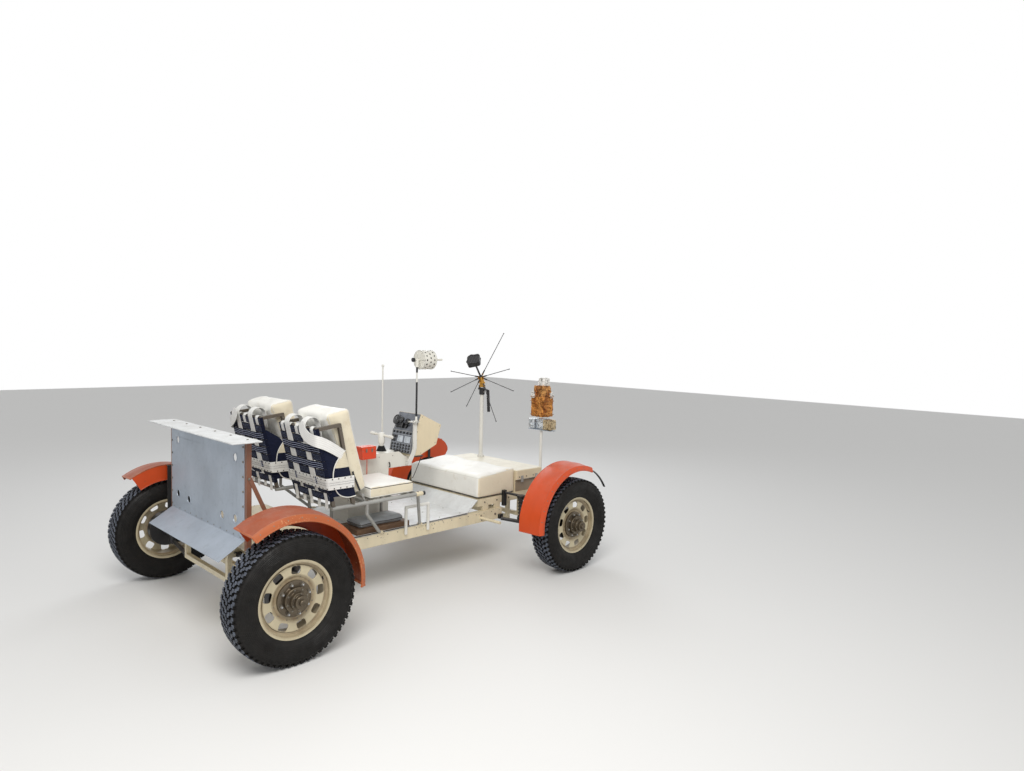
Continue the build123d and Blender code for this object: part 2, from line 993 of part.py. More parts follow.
deck_level = high_rail_top + deck_plate
tool_frame = both(block(panel_x, panel_x + angle_sheet, angle_out - angle_wide, angle_out, deck_level, angle_top))
tool_frame += both(block(panel_x, panel_x + angle_wide, angle_out - angle_sheet, angle_out, deck_level, angle_top))
tool_frame += block(panel_x, panel_x + angle_wide, -angle_out, angle_out, angle_top - angle_sheet, angle_top)
across_brace = (brace_top_z - brace_foot_z, 0, brace_foot_x - brace_top_x)
for side in (-1, 1):
    y = side * (angle_out + brace_lap)
    brace = strip((brace_top_x, y, brace_top_z), (brace_foot_x, y, brace_foot_z), across_brace,
                  brace_width, angle_sheet)
    brace -= block(panel_x, brace_foot_x + brace_width, side * panel_half, side * shelf_half,
                   rail_bottom, deck_level)
    tool_frame += brace
save(tool_frame, "tool_frame")
save(block(shelf_rear, shelf_front, -shelf_half, shelf_half, angle_top, shelf_top), "tool_shelf")


# Seats: each side is drawn for the left seat and mirrored

rail_crown = seat_rail_z + seat_tube + fit_gap


def cross_rod(x, z, radius):
    return rod((x, inner_rail_y, z), (x, outer_rail_y, z), radius)


seat = rod((seat_rail_back, outer_rail_y, seat_rail_z), (seat_rail_front, outer_rail_y, seat_rail_z), seat_tube)
seat += rod((seat_rail_back, inner_rail_y, seat_rail_z), (seat_rail_front, inner_rail_y, seat_rail_z), seat_tube)
for x in (rear_cross_x, rear_leg_x, front_leg_x):
    seat += cross_rod(x, seat_rail_z, leg_radius)
for x in pan_bar_table:
    seat += cross_rod(x, seat_rail_z + pan_bar_rise, leg_radius)
foot_z = floor_top - leg_radius
seat += rod((front_leg_x, outer_rail_y, seat_rail_z), (front_foot_x, foot_y, foot_z), leg_radius)
seat += tube_run([
    (rear_leg_x, outer_rail_y, seat_rail_z),
    (rear_leg_x, outer_rail_y, rear_leg_knee_z),
    (rear_foot_x, foot_y, foot_z),
], leg_radius)
for x in (front_leg_x, rear_leg_x):
    seat += rod((x, inner_rail_y, seat_rail_z), (x, inner_rail_y, floor_top), leg_radius)
for y in (inner_rail_y + rest_post_inset, outer_rail_y - rest_post_inset):
    seat += rod((rest_tube_x, y, rest_tube_z), (rear_leg_x, y, seat_rail_z), rest_post_radius)
seat += cross_rod(rest_tube_x, rest_tube_z, leg_radius)
seat -= block(seat_rail_back, front_foot_x + rail_width, 0, outer_rail_y, rail_bottom, floor_top)
save(pair(seat), "seat_frames")


def loop_bar(start, end, y):
    direction = Vector(end[0] - start[0], 0, end[1] - start[1]).normalized()
    reach = direction * (loop_lap * loop_section)
    a = (start[0] - reach.X, y, start[1] - reach.Z)
    b = (end[0] + reach.X, y, end[1] + reach.Z)
    return strip(a, b, (0, 1, 0), loop_section, loop_section)


loop_line = [
    (back_front_low_x, seat_rail_z),
    (back_front_high_x, back_front_high_z),
    (back_rear_high_x, back_rear_high_z),
    (back_rear_low_x, seat_rail_z),
]
loops = cross_rod(back_rear_high_x, back_rear_high_z, back_cross_radius)
for y in (loop_outer_y, loop_inner_y):
    for start, end in zip(loop_line, loop_line[1:]):
        loops += loop_bar(start, end, y)
loops -= block(back_rear_high_x, cushion_rear, 0, outer_rail_y + rail_width, rail_top, rail_crown)
save(pair(loops), "back_frames")

cushion = block(cushion_rear, cushion_front, seat_y_mid - seat_half_width, seat_y_mid + seat_half_width,
                cushion_bottom, cushion_top)
save(pair(fillet(cushion.edges(), cushion_corner)), "seat_cushions")

rest = side_profile(block_outline, seat_y_mid - block_half_width, seat_y_mid + block_half_width)
save(pair(fillet(rest.edges(), block_corner)), "backrest_blocks")


# Webbing: upright straps against the loop frame's rear bars, level bands over them,
# and wings that wrap forward round the bars

back_lean = (back_rear_low_x - back_rear_high_x) / (back_rear_high_z - seat_rail_z)
back_depth = loop_section / 2 * math.hypot(1, back_lean) + fit_gap


def web_x(z, layers):
    """X of the webbing's front face at a height, or of a face some layers behind it."""
    return back_rear_low_x - back_lean * (z - seat_rail_z) - back_depth - layers * web_sheet


def web_strip(low, high, front, rear, y0, y1):
    return side_profile([
        (web_x(low, front), low),
        (web_x(high, front), high),
        (web_x(high, rear), high),
        (web_x(low, rear), low),
    ], y0, y1)


wing_in = web_in - wing_sheet
wing_out = web_out + wing_sheet
band_pitch = (web_top - web_bottom) / band_count
upright_pitch = (web_out - web_in - upright_width) / (upright_count - 1)
web = None
for i in range(upright_count):
    y = web_in + upright_width / 2 + i * upright_pitch
    upright = web_strip(web_bottom, web_top, 0, 1, y - upright_width / 2, y + upright_width / 2)
    web = upright if web is None else web + upright
for i in range(band_count):
    low = web_bottom + i * band_pitch
    web += web_strip(low, low + band_share * band_pitch, 1, 2, wing_in, wing_out)
for y0, y1 in ((web_out, wing_out), (wing_in, web_in)):
    web += side_profile(wing_outline_front + [
        (web_x(wing_top_z, 2), wing_top_z),
        (web_x(web_bottom, 2), web_bottom),
    ], y0, y1)
save(pair(web), "seat_backs")

lap_rear = 2 + lap_sheet / web_sheet
lap = web_strip(lap_low, lap_high, 2, lap_rear, wing_in - lap_sheet, wing_out + lap_sheet)
for y0, y1 in ((wing_out, wing_out + lap_sheet), (wing_in - lap_sheet, wing_in)):
    lap += side_profile([
        (lap_front_low_x, lap_low - lap_front_low),
        (lap_front_high_x, lap_high - lap_front_high),
        (web_x(lap_high, lap_rear), lap_high),
        (web_x(lap_low, lap_rear), lap_low),
    ], y0, y1)
turn_z = web_top + strap_turn_rise
turn_x = web_x(turn_z, lap_rear) - fit_gap + strap_radius
ring = barrel(strap_radius, -strap_width / 2, strap_width / 2)
ring -= barrel(strap_radius - lap_sheet, -strap_width, strap_width)
for y in (seat_y_mid - strap_in, seat_y_mid + strap_out):
    arch = Location((turn_x, y, turn_z)) * Rotation(90, 0, 0) * ring
    arch -= block(turn_x - 2 * strap_radius, turn_x + 2 * strap_radius, 0, wing_out, web_bottom, turn_z)
    lap += arch
    lap += side_profile([
        (web_x(turn_z, 2) - fit_gap, turn_z + 1),
        (web_x(turn_z, lap_rear) - fit_gap, turn_z + 1),
        (web_x(strap_foot_z, lap_rear), strap_foot_z),
        (web_x(strap_foot_z, 2), strap_foot_z),
    ], y - strap_width / 2, y + strap_width / 2)
save(pair(lap), "back_bands")


# Centre box, hand controller, console

centre = side_profile([
    (centre_rear, floor_top),
    (centre_step, floor_top),
    (centre_step, centre_under),
    (nose_front, centre_under),
    (nose_front, nose_top),
    (centre_front, centre_top),
    (centre_rear, centre_top),
], -centre_half, centre_half)
centre += side_profile([
    (nose_front - post_back, centre_under),
    (post_top_front, console_bottom),
    (post_top_back, console_bottom),
    (nose_front - post_back, nose_top + bracket_reach),
], -post_half, post_half)
centre += rod((handle_x, 0, centre_top - sink), (handle_x, 0, handle_top), handle_post_radius)
centre += rod(handle_left, handle_right, handle_radius)
save(centre, "centre_box")

orange = block(orange_rear, orange_front, -centre_half - orange_wide, -centre_half, orange_bottom, orange_top)
orange += rod((stalk_x, stalk_y, rail_crown), (stalk_x, stalk_y, orange_bottom + sink), stalk_radius)
save(orange, "orange_box")

save(side_profile(console_outline, -console_half, console_half), "console_case")

face_foot = console_outline[1]
face_head = console_outline[2]
slope = Vector(face_head[0] - face_foot[0], 0, face_head[1] - face_foot[1])
face_length = slope.length - face_top_inset
slope = slope.normalized()
out = Vector(-slope.Z, 0, slope.X)
foot = Vector(face_foot[0], 0, face_foot[1])
top = foot + slope * face_length
face = side_profile(lower_face, -face_half, face_half)
face += side_profile([
    (foot.X, foot.Z),
    (top.X, top.Z),
    (top.X + out.X * face_thick, top.Z + out.Z * face_thick),
    (foot.X + out.X * face_thick, foot.Z + out.Z * face_thick - face_drop),
    lower_face[2],
    lower_face[1],
], -face_half, face_half)
for across, along, radius, length in gauge_table:
    base = foot + slope * along + out * sink + Vector(0, across, 0)
    tip = base + out * length
    face += rod((base.X, base.Y, base.Z), (tip.X, tip.Y, tip.Z), radius)
save(face, "console_panel")

step_y = rail_outer + step_radius
step = tube_run([
    (step_rear, step_y, step_low),
    (step_rear, step_y, step_high),
    (step_front, step_y, step_high),
    (step_front, step_y, step_low),
], step_radius)
save(pair(step), "step_hoops")


# Low antenna: a drum that turns on a staff

shaft_end = staff_top + fit_gap
drum = rod((drum_start, staff_y, drum_axis_z), (drum_end, staff_y, drum_axis_z), low_drum_radius)
drum += rod((knob_x, staff_y, drum_axis_z), (feed_tip_x, staff_y, drum_axis_z), drum_shaft_radius)
drum += rod((knob_x, staff_y, drum_axis_z), (knob_x + knob_length, staff_y, drum_axis_z), knob_radius)
at_staff = Location((staff_x, staff_y, 0))
drum += at_staff * barrel(swivel_radius, swivel_low, swivel_high)
drum -= at_staff * barrel(staff_radius + pin_gap, staff_bottom, shaft_end)
save(drum, "low_antenna_drum")


# Masts: the high antenna's mast, the camera pole, the whip, and the low antenna's
# staff on its plate with the strip that hangs it from the centre box

antenna_mast = rod((mast_x, mast_y, lid_top), (mast_x, mast_y, mast_top), mast_radius)
antenna_mast += rod((mast_x, mast_y, lid_top), (mast_x, mast_y, lid_top + mast_foot), mast_foot_radius)
pole = rod((pole_x, pole_y, high_rail_top), (pole_x, pole_y, pole_top), pole_radius)
whip = rod((whip_x, whip_y, floor_top), (whip_x, whip_y, whip_top), whip_radius)
whip += Location((whip_x, whip_y, whip_top)) * Sphere(whip_ball)
staff = rod((staff_x, staff_y, staff_bottom), (staff_x, staff_y, staff_top), staff_radius)
staff += block(plate_rear, plate_front, plate_out_y, plate_in_y, staff_bottom, staff_bottom + plate_sheet)
hanger_y = -console_half - hanger_thick
staff += side_strip(hanger_outline, hanger_half, hanger_y, -console_half)
staff += block(lug_rear, lug_front, hanger_y, -centre_half, lug_low, lug_high)
save(Compound(children=[antenna_mast, pole, whip, staff]), "masts")


# High antenna

place = Location((mast_x, mast_y, 0)) * Rotation(0, 0, aim)
across_head = Rotation(90, 0, 0)
head = barrel(head_radius, head_low, head_high)
head += block(-ear_base_half, ear_base_half, -ear_out, ear_out, ear_base, ear_base + ear_base_thick)
for side in (-1, 1):
    head += block(-ear_half, ear_half, side * ear_in, side * ear_out, ear_base, trunnion_z)
    head += Location((0, side * (ear_in + ear_out) / 2, trunnion_z)) * across_head * Cylinder(ear_half, ear_out - ear_in)
head -= barrel(mast_radius + pin_gap, head_low - sink, head_bore_end)
head -= Location((0, 0, trunnion_z)) * across_head * Cylinder(trunnion_radius + pin_gap, 3 * ear_out)
head = place * head
for start, end, radius in grip_table:
    head += rod(start, end, radius)
save(head, "antenna_head")

saddle_wide = ear_in - 0.5
hub = Location((0, 0, trunnion_z)) * across_head * Cylinder(trunnion_radius, 2 * ear_out)
hub += block(-saddle_half, saddle_half, -saddle_wide, saddle_wide, trunnion_z - trunnion_radius - sink, saddle_top)
hub += barrel(boss_radius, boss_low, boss_high)
hub = place * hub
hub += rod((mast_x, mast_y, boom_low), junction, boom_radius)
save(hub, "antenna_hub")

middle = Vector(*junction)
feed = middle + Vector(*feed_offset)
ribs = Location(junction) * Sphere(junction_radius)
for forward, left, up in rib_table:
    tip = middle + Vector(forward, left, up)
    ribs += rod(junction, (tip.X, tip.Y, tip.Z), rib_radius)
ribs += rod(junction, (feed.X, feed.Y, feed.Z), feed_radius)
horn = Box(horn_side, horn_side, horn_depth)
horn = fillet(horn.edges().filter_by(Axis.Z), horn_corner)
aim_across = Vector(0, 0, 1).cross(Vector(*feed_offset))
ribs += Plane(origin=feed, x_dir=aim_across, z_dir=Vector(*feed_offset)) * Rotation(0, 0, horn_turn) * horn
save(ribs - hub, "antenna_ribs")


# Camera on its pole

boxes = block(tray_rear, tray_front, case_right, case_left, pole_top, case_bottom)
for rear, front, right, left, top_z in case_table:
    boxes += block(rear, front, right, left, case_bottom - 1, top_z)
boxes += rod((pole_x, pole_y, case_top - spindle_low), (pole_x, pole_y, case_top + spindle_high), spindle_radius)
save(boxes, "camera_boxes")

camera = block(camera_rear, camera_front, camera_right, camera_left, camera_low, camera_high)
camera = chamfer(camera.edges(), camera_corner)
cap = block(cap_rear, cap_front, cap_right, cap_left, camera_high - 5, cap_top)
cap = fillet(cap.edges().group_by(Axis.Z)[-1] + cap.edges().filter_by(Axis.Z), cap_corner)
camera += cap
bore_top = case_top + spindle_high + sink
camera -= rod((pole_x, pole_y, case_top), (pole_x, pole_y, bore_top), spindle_radius + pin_gap)
save(camera, "camera_head")
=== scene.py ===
import bpy
import bmesh
import math
import random
from itertools import product
from mathutils import Matrix, Vector, noise
from mathutils.bvhtree import BVHTree


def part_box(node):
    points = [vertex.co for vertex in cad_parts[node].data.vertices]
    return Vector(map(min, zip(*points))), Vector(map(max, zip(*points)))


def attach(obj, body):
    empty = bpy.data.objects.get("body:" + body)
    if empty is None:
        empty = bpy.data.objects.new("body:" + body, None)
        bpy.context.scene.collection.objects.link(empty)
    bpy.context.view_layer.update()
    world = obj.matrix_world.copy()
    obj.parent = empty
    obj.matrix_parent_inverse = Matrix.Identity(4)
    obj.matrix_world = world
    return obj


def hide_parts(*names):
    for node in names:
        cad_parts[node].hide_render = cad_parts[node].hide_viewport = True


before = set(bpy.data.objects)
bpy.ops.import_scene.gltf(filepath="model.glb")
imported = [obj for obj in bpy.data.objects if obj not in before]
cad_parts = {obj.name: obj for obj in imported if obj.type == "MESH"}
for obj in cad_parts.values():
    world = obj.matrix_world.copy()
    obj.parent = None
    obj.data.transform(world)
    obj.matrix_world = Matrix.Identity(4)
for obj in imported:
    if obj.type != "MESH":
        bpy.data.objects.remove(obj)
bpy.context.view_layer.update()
scene = bpy.context.scene
dice = random.Random(7)
print("frame loaded")


# Camera, light and floor

camera = {
    "place": (-2.985, -4.356, 1.766),
    "right": (0.7024, -0.7113, 0.0240),
    "forward": (0.7111, 0.7001, -0.0642),
    "lens": 24.61,
    "sensor": 36.0,
    "near": 0.05,
}


def setCamera():
    data = bpy.data.cameras.new("viewCamera")
    data.lens = camera["lens"]
    data.sensor_width = camera["sensor"]
    data.sensor_fit = "HORIZONTAL"
    data.clip_start = camera["near"]
    eye = bpy.data.objects.new("viewCamera", data)
    forward = Vector(camera["forward"]).normalized()
    right = Vector(camera["right"])
    right = (right - forward * right.dot(forward)).normalized()
    turn = Matrix((right, right.cross(forward), -forward)).transposed().to_4x4()
    eye.matrix_world = Matrix.Translation(camera["place"]) @ turn
    scene.collection.objects.link(eye)
    scene.camera = eye


studio = {
    "ambient": 0.55,
    "aim": (0, 0, 0.5),
    "lamps": {  # place, size, power and colour
        "keyLamp": ((-2.6, -3.4, 4.6), 3.2, 200.0, (1.0, 0.98, 0.95)),
        "fillLamp": ((3.2, 3.6, 3.4), 3.0, 60.0, (0.93, 0.96, 1.0)),
    },
    "floorColour": (0.80, 0.80, 0.79, 1),
    "floorRoughness": 0.75,
    "floorHalf": 20.0,
}


def addLamp(name, place, size, power, colour):
    data = bpy.data.lights.new(name, "AREA")
    data.shape = "DISK"
    data.size = size
    data.energy = power
    data.color = colour
    lamp = bpy.data.objects.new(name, data)
    aim = (Vector(studio["aim"]) - Vector(place)).to_track_quat("-Z", "Y")
    lamp.matrix_world = Matrix.Translation(place) @ aim.to_matrix().to_4x4()
    scene.collection.objects.link(lamp)


def addNode(tree, kind, inputs, **settings):
    # a shader node with its settings, each input linked to a socket or given a value
    node = tree.nodes.new("ShaderNode" + kind)
    for setting, value in settings.items():
        setattr(node, setting, value)
    for socket, value in inputs.items():
        if isinstance(value, bpy.types.NodeSocket):
            tree.links.new(value, node.inputs[socket])
        else:
            node.inputs[socket].default_value = value
    return node


def whiteForCamera(tree, plain, white):
    # rays of the camera, mirrors and glass meet plain white
    path = addNode(tree, "LightPath", {}).outputs
    rays = addNode(tree, "Math", {0: path["Is Camera Ray"], 1: path["Is Glossy Ray"]}, operation="ADD")
    rays = addNode(tree, "Math", {0: rays.outputs[0], 1: path["Is Transmission Ray"]}, operation="ADD", use_clamp=True)
    return addNode(tree, "MixShader", {0: rays.outputs[0], 1: plain.outputs[0], 2: white.outputs[0]})


def setStudio():
    scene.view_settings.view_transform = "Standard"
    world = bpy.data.worlds.new("studioWorld")
    world.use_nodes = True
    tree = world.node_tree
    tree.nodes.clear()
    plain, white = [addNode(tree, "Background", {"Color": (1, 1, 1, 1), "Strength": strength})
                    for strength in (studio["ambient"], 1.0)]
    addNode(tree, "OutputWorld", {0: whiteForCamera(tree, plain, white).outputs[0]})
    scene.world = world
    for name, values in studio["lamps"].items():
        addLamp(name, *values)
    half = studio["floorHalf"]
    mesh = bpy.data.meshes.new("studioFloor")
    mesh.from_pydata([(-half, -half, 0), (half, -half, 0), (half, half, 0), (-half, half, 0)], [], [(0, 1, 2, 3)])
    floor = bpy.data.objects.new("studioFloor", mesh)
    scene.collection.objects.link(floor)
    material = bpy.data.materials.new("paleFloor")
    material.use_nodes = True
    shader = material.node_tree.nodes["Principled BSDF"]
    shader.inputs["Base Color"].default_value = studio["floorColour"]
    shader.inputs["Roughness"].default_value = studio["floorRoughness"]
    floor.data.materials.append(material)


setCamera()
setStudio()
print("camera and light set")


# Mesh shapes: each returns its points and faces

def bridged(rows, width, wrap=False):
    # quads between rows of points that close on themselves; the ends are closed unless the rows wrap round
    faces = []
    for i in range(rows if wrap else rows - 1):
        a, b = i * width, (i + 1) % rows * width
        faces += [(a + k, a + (k + 1) % width, b + (k + 1) % width, b + k) for k in range(width)]
    if not wrap:
        faces += [tuple(range(width))[::-1], tuple((rows - 1) * width + k for k in range(width))]
    return faces


def boxShape(low, high, edge=0.0015):
    # a box with chamfered edges and corners
    low, high = Vector(low), Vector(high)
    middle, half = (low + high) / 2, (high - low) / 2
    edge = min(edge, 0.45 * min(half))
    points, index, faces = [], {}, []
    for signs in product((-1, 1), repeat=3):
        for axis in range(3):
            index[signs + (axis,)] = len(points)
            points.append(middle + Vector([signs[i] * (half[i] - (0 if i == axis else edge)) for i in range(3)]))

    def corner(signs, face):
        return index[(signs[0], signs[1], signs[2], face)]

    for axis in range(3):
        other, third = (axis + 1) % 3, (axis + 2) % 3
        for sign in (-1, 1):
            ring = [corner({axis: sign, other: a, third: b}, axis) for a, b in ((-1, -1), (1, -1), (1, 1), (-1, 1))]
            faces.append(ring[::sign])
        for a, b in product((-1, 1), repeat=2):
            faces.append([corner({axis: sign, other: a, third: b}, face)
                          for sign, face in ((-1, other), (1, other), (1, third), (-1, third))])
    for signs in product((-1, 1), repeat=3):
        faces.append([index[signs + (axis,)] for axis in range(3)])
    return points, faces


def spoke(radius, angle, height=0.0):
    return Vector((radius * math.cos(angle), radius * math.sin(angle), height))


def heading(line, i, closed=False):
    # the way of the line at its point i
    count = len(line)
    if closed:
        return (line[(i + 1) % count] - line[i - 1]).normalized()
    return (line[min(i + 1, count - 1)] - line[max(i - 1, 0)]).normalized()


def tubeShape(path, radius, sides=10, closed=False):
    # radius may be a list, one for each point
    path = [Vector(p) for p in path]
    points, across = [], None
    for i, p in enumerate(path):
        along = heading(path, i, closed)
        across = along.orthogonal().normalized() if across is None else across
        across = (across - along * across.dot(along)).normalized()
        up = along.cross(across)
        size = radius[i] if isinstance(radius, (list, tuple)) else radius
        for k in range(sides):
            turn = spoke(1.0, 2 * math.pi * k / sides)
            points.append(p + (across * turn.x + up * turn.y) * size)
    return points, bridged(len(path), sides, closed)


def latheShape(profile, segments=32, closed=False):
    # profile is (radius, height) pairs; it turns about Z
    points = [spoke(radius, 2 * math.pi * k / segments, height) for radius, height in profile for k in range(segments)]
    return points, bridged(len(profile), segments, closed)


def ribbonShape(centres, across, normals, widths, thick):
    # its third part is the flat place of each point, in metres along and across
    points, flat = [], []
    bevel, length = thick * 0.35, 0.0
    for i, (centre, side, normal, wide) in enumerate(zip(centres, across, normals, widths)):
        length += (centre - centres[i - 1]).length if i else 0.0
        outer, inner, full, low = wide / 2, wide / 2 - bevel, thick / 2, thick / 2 - bevel
        for u, v in ((-inner, -full), (inner, -full), (outer, -low), (outer, low),
                     (inner, full), (-inner, full), (-outer, low), (-outer, -low)):
            points.append(centre + side.normalized() * u + normal.normalized() * v)
            flat.append((length, u))
    return points, bridged(len(centres), 8), flat


def gridShape(grid):
    # quads between rows of points of one length
    width = len(grid[0])
    faces = []
    for i, j in product(range(len(grid) - 1), range(width - 1)):
        at = i * width + j
        faces.append((at, at + width, at + width + 1, at + 1))
    return [p for row in grid for p in row], faces


def prismShape(outline, depth):
    # outline is (x, y) pairs, counter-clockwise; it rises along Z
    return [Vector((x, y, z)) for z in (0, depth) for x, y in outline], bridged(2, len(outline))


def placed(shape, place):
    return [place @ Vector(p) for p in shape[0]], shape[1]


def facing(origin, out, hint=(0, 0, 1)):
    # a place whose Z points along out and whose Y leans towards hint
    z = Vector(out).normalized()
    y = Vector(hint) - z * Vector(hint).dot(z)
    if y.length < 1e-4:
        y = z.orthogonal()
    y.normalize()
    return Matrix.Translation(origin) @ Matrix((y.cross(z), y, z)).transposed().to_4x4()


def turned(profile, origin, out=(0, 0, 1), segments=24, closed=False):
    # a lathed part that stands at origin and points along out
    return placed(latheShape(profile, segments, closed), facing(origin, out))


def risen(profile, x, y, segments):
    # a lathed part about the upright through x and y
    return placed(latheShape(profile, segments), Matrix.Translation((x, y, 0)))


def hexBolt(at, out, size=0.006, height=0.004):
    washer = turned([(size * 1.25, 0), (size * 1.25, 0.0012), (size * 0.9, 0.0014)], at, out, 16)
    head = turned([(size, 0.0012), (size, height), (size * 0.82, height + 0.0008)], at, out, 6)
    return joined([washer, head])


def rivet(at, out, size=0.004):
    dome = [(size, 0), (size * 0.92, size * 0.25), (size * 0.6, size * 0.48), (size * 0.2, size * 0.58)]
    return turned(dome, at, out, 10)


def joined(shapes):
    points, faces = [], []
    for shape in shapes:
        base = len(points)
        points += shape[0]
        faces += [tuple(i + base for i in face) for face in shape[1]]
    return points, faces


def smoothLine(points, steps=8):
    # a soft line through the points
    points = [Vector(p) for p in points]
    ends = [points[0] * 2 - points[1]] + points + [points[-1] * 2 - points[-2]]
    line = []
    for i in range(len(points) - 1):
        a, b, c, d = ends[i:i + 4]
        for k in range(steps):
            t = k / steps
            line.append(0.5 * ((2 * b) + (c - a) * t + (2 * a - 5 * b + 4 * c - d) * t * t
                               + (3 * b - a - 3 * c + d) * t * t * t))
    return line + [points[-1]]


def between(points, value):
    # the second number of the line through the points where the first is value
    for (a, b), (c, d) in zip(points, points[1:]):
        if min(a, c) <= value <= max(a, c) and a != c:
            return b + (d - b) * (value - a) / (c - a)
    return points[-1][1]


def eased(value):
    # held between 0 and 1, with soft ends
    value = max(0.0, min(1.0, value))
    return value * value * (3 - 2 * value)


def makePiece(name, groups, body, stands=(), sharp=32):
    # groups is a list of (shape, finish name); finishes become the material slots
    mesh = bpy.data.meshes.new(name)
    points, faces, marks, names, flat = [], [], [], [], []
    for shape, finishName in groups:
        flat += shape[2] if len(shape) > 2 else [(p[0] + p[1], p[2]) for p in shape[0]]
        if finishName not in names:
            names.append(finishName)
            mesh.materials.append(finishes[finishName])
        base = len(points)
        points += [tuple(p) for p in shape[0]]
        faces += [tuple(i + base for i in face) for face in shape[1]]
        marks += [names.index(finishName)] * len(shape[1])
    mesh.from_pydata(points, [], faces)
    for polygon, mark in zip(mesh.polygons, marks):
        polygon.material_index = mark
    layer = mesh.uv_layers.new(name="flat")
    for loop in mesh.loops:
        layer.data[loop.index].uv = flat[loop.vertex_index]
    shadeByAngle(mesh, sharp)
    piece = bpy.data.objects.new(name, mesh)
    scene.collection.objects.link(piece)
    settle(piece, body, stands)
    return piece


def shadeByAngle(mesh, sharp):
    work = bmesh.new()
    work.from_mesh(mesh)
    bmesh.ops.recalc_face_normals(work, faces=work.faces)
    for face in work.faces:
        face.smooth = True
    for edge in work.edges:
        edge.smooth = not (edge.is_manifold and edge.calc_face_angle(0) > math.radians(sharp))
    work.to_mesh(mesh)
    work.free()


def settle(piece, body, stands=()):
    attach(piece, body)
    if stands:
        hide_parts(*stands)


# Finishes

wheel = {"x": 1.170, "y": 0.932, "z": 0.358}  # the middle of each tyre


def shade(red, green, blue):
    # a colour as it is read on a screen, from 0 to 255
    parts = [v / 255 for v in (red, green, blue)]
    return tuple(p / 12.92 if p <= 0.04045 else ((p + 0.055) / 1.055) ** 2.4 for p in parts) + (1,)


def tinted(tone, factor):
    return tuple(min(1.0, part * factor) for part in tone[:3]) + (1,)


class Finish:
    # one material and the nodes that give it its grain and wear
    def __init__(self, name, **sockets):
        self.material = bpy.data.materials.new(name)
        self.material.use_nodes = True
        self.tree = self.material.node_tree
        self.shader = self.tree.nodes["Principled BSDF"]
        self.coords = self.add("TexCoord", {}).outputs
        for socket, value in sockets.items():
            self.shader.inputs[socket.replace("_", " ")].default_value = value

    def add(self, kind, inputs, **settings):
        return addNode(self.tree, kind, inputs, **settings)

    def place(self, scale=(1, 1, 1), kind="Object"):
        return self.add("Mapping", {"Scale": scale, "Vector": self.coords[kind]}).outputs[0]

    def noise(self, scale, detail=3.0, rough=0.5, vector=None, distortion=0.0):
        return self.add("TexNoise", {"Scale": scale, "Detail": detail, "Roughness": rough, "Distortion": distortion,
                                     "Vector": vector or self.place()}).outputs["Fac"]

    def cells(self, scale, feature="F1", vector=None):
        return self.add("TexVoronoi", {"Scale": scale, "Vector": vector or self.place()}, feature=feature).outputs["Distance"]

    def wave(self, scale, vector, direction="X", distortion=0.0):
        return self.add("TexWave", {"Scale": scale, "Distortion": distortion, "Vector": vector},
                        bands_direction=direction).outputs["Fac"]

    def ramp(self, value, *stops):
        node = self.add("ValToRGB", {0: value})
        marks = node.color_ramp.elements
        while len(marks) < len(stops):
            marks.new(0.5)
        for mark, (place, tone) in zip(marks, stops):
            mark.position = place
            mark.color = (tone, tone, tone, 1)
        return node.outputs[0]

    def spots(self, start, end, most, *grain):
        # noise that rises from none to most between two of its values
        return self.ramp(self.noise(*grain), (start, 0.0), (end, most))

    def mix(self, share, first, second):
        return self.add("Mix", {0: share, 6: first, 7: second}, data_type="RGBA").outputs[2]

    def sum(self, operation, first, second):
        return self.add("Math", {0: first, 1: second}, operation=operation).outputs[0]

    def fromAxle(self):
        # distance from the nearer wheel axle, in quarters of a metre
        parts = self.add("SeparateXYZ", {0: self.coords["Object"]}).outputs
        along = self.sum("SUBTRACT", self.sum("ABSOLUTE", parts["X"], 0.0), wheel["x"])
        up = self.sum("SUBTRACT", parts["Z"], wheel["z"])
        squares = self.sum("ADD", self.sum("MULTIPLY", along, along), self.sum("MULTIPLY", up, up))
        return self.sum("MULTIPLY", self.sum("SQRT", squares, 0.0), 4.0)

    def upward(self):
        # 1 where the surface faces up: where dust lies, and where the painted highlight of level faces goes
        normal = self.add("NewGeometry", {}).outputs["Normal"]
        return self.ramp(self.add("SeparateXYZ", {0: normal}).outputs["Z"], (0.45, 0.0), (0.95, 1.0))

    def edges(self, radius=0.004):
        # 1 along edges and corners, where paint wears off
        rounded = self.add("Bevel", {"Radius": radius}, samples=4).outputs[0]
        normal = self.add("NewGeometry", {}).outputs["Normal"]
        meeting = self.add("VectorMath", {0: rounded, 1: normal}, operation="DOT_PRODUCT").outputs["Value"]
        return self.ramp(meeting, (0.86, 1.0), (0.985, 0.0))

    def colour(self, value):
        self.tree.links.new(value, self.shader.inputs["Base Color"])

    def roughness(self, value, low, high):
        self.tree.links.new(self.ramp(value, (0.3, low), (0.7, high)), self.shader.inputs["Roughness"])

    def bump(self, height, strength, depth, below=None):
        sockets = {"Strength": strength, "Distance": depth, "Height": height}
        if below:
            sockets["Normal"] = below
        result = self.add("Bump", sockets).outputs[0]
        self.tree.links.new(result, self.shader.inputs["Normal"])
        return result


dustTone, greaseAndShadeTone = shade(150, 142, 128), shade(116, 92, 62)


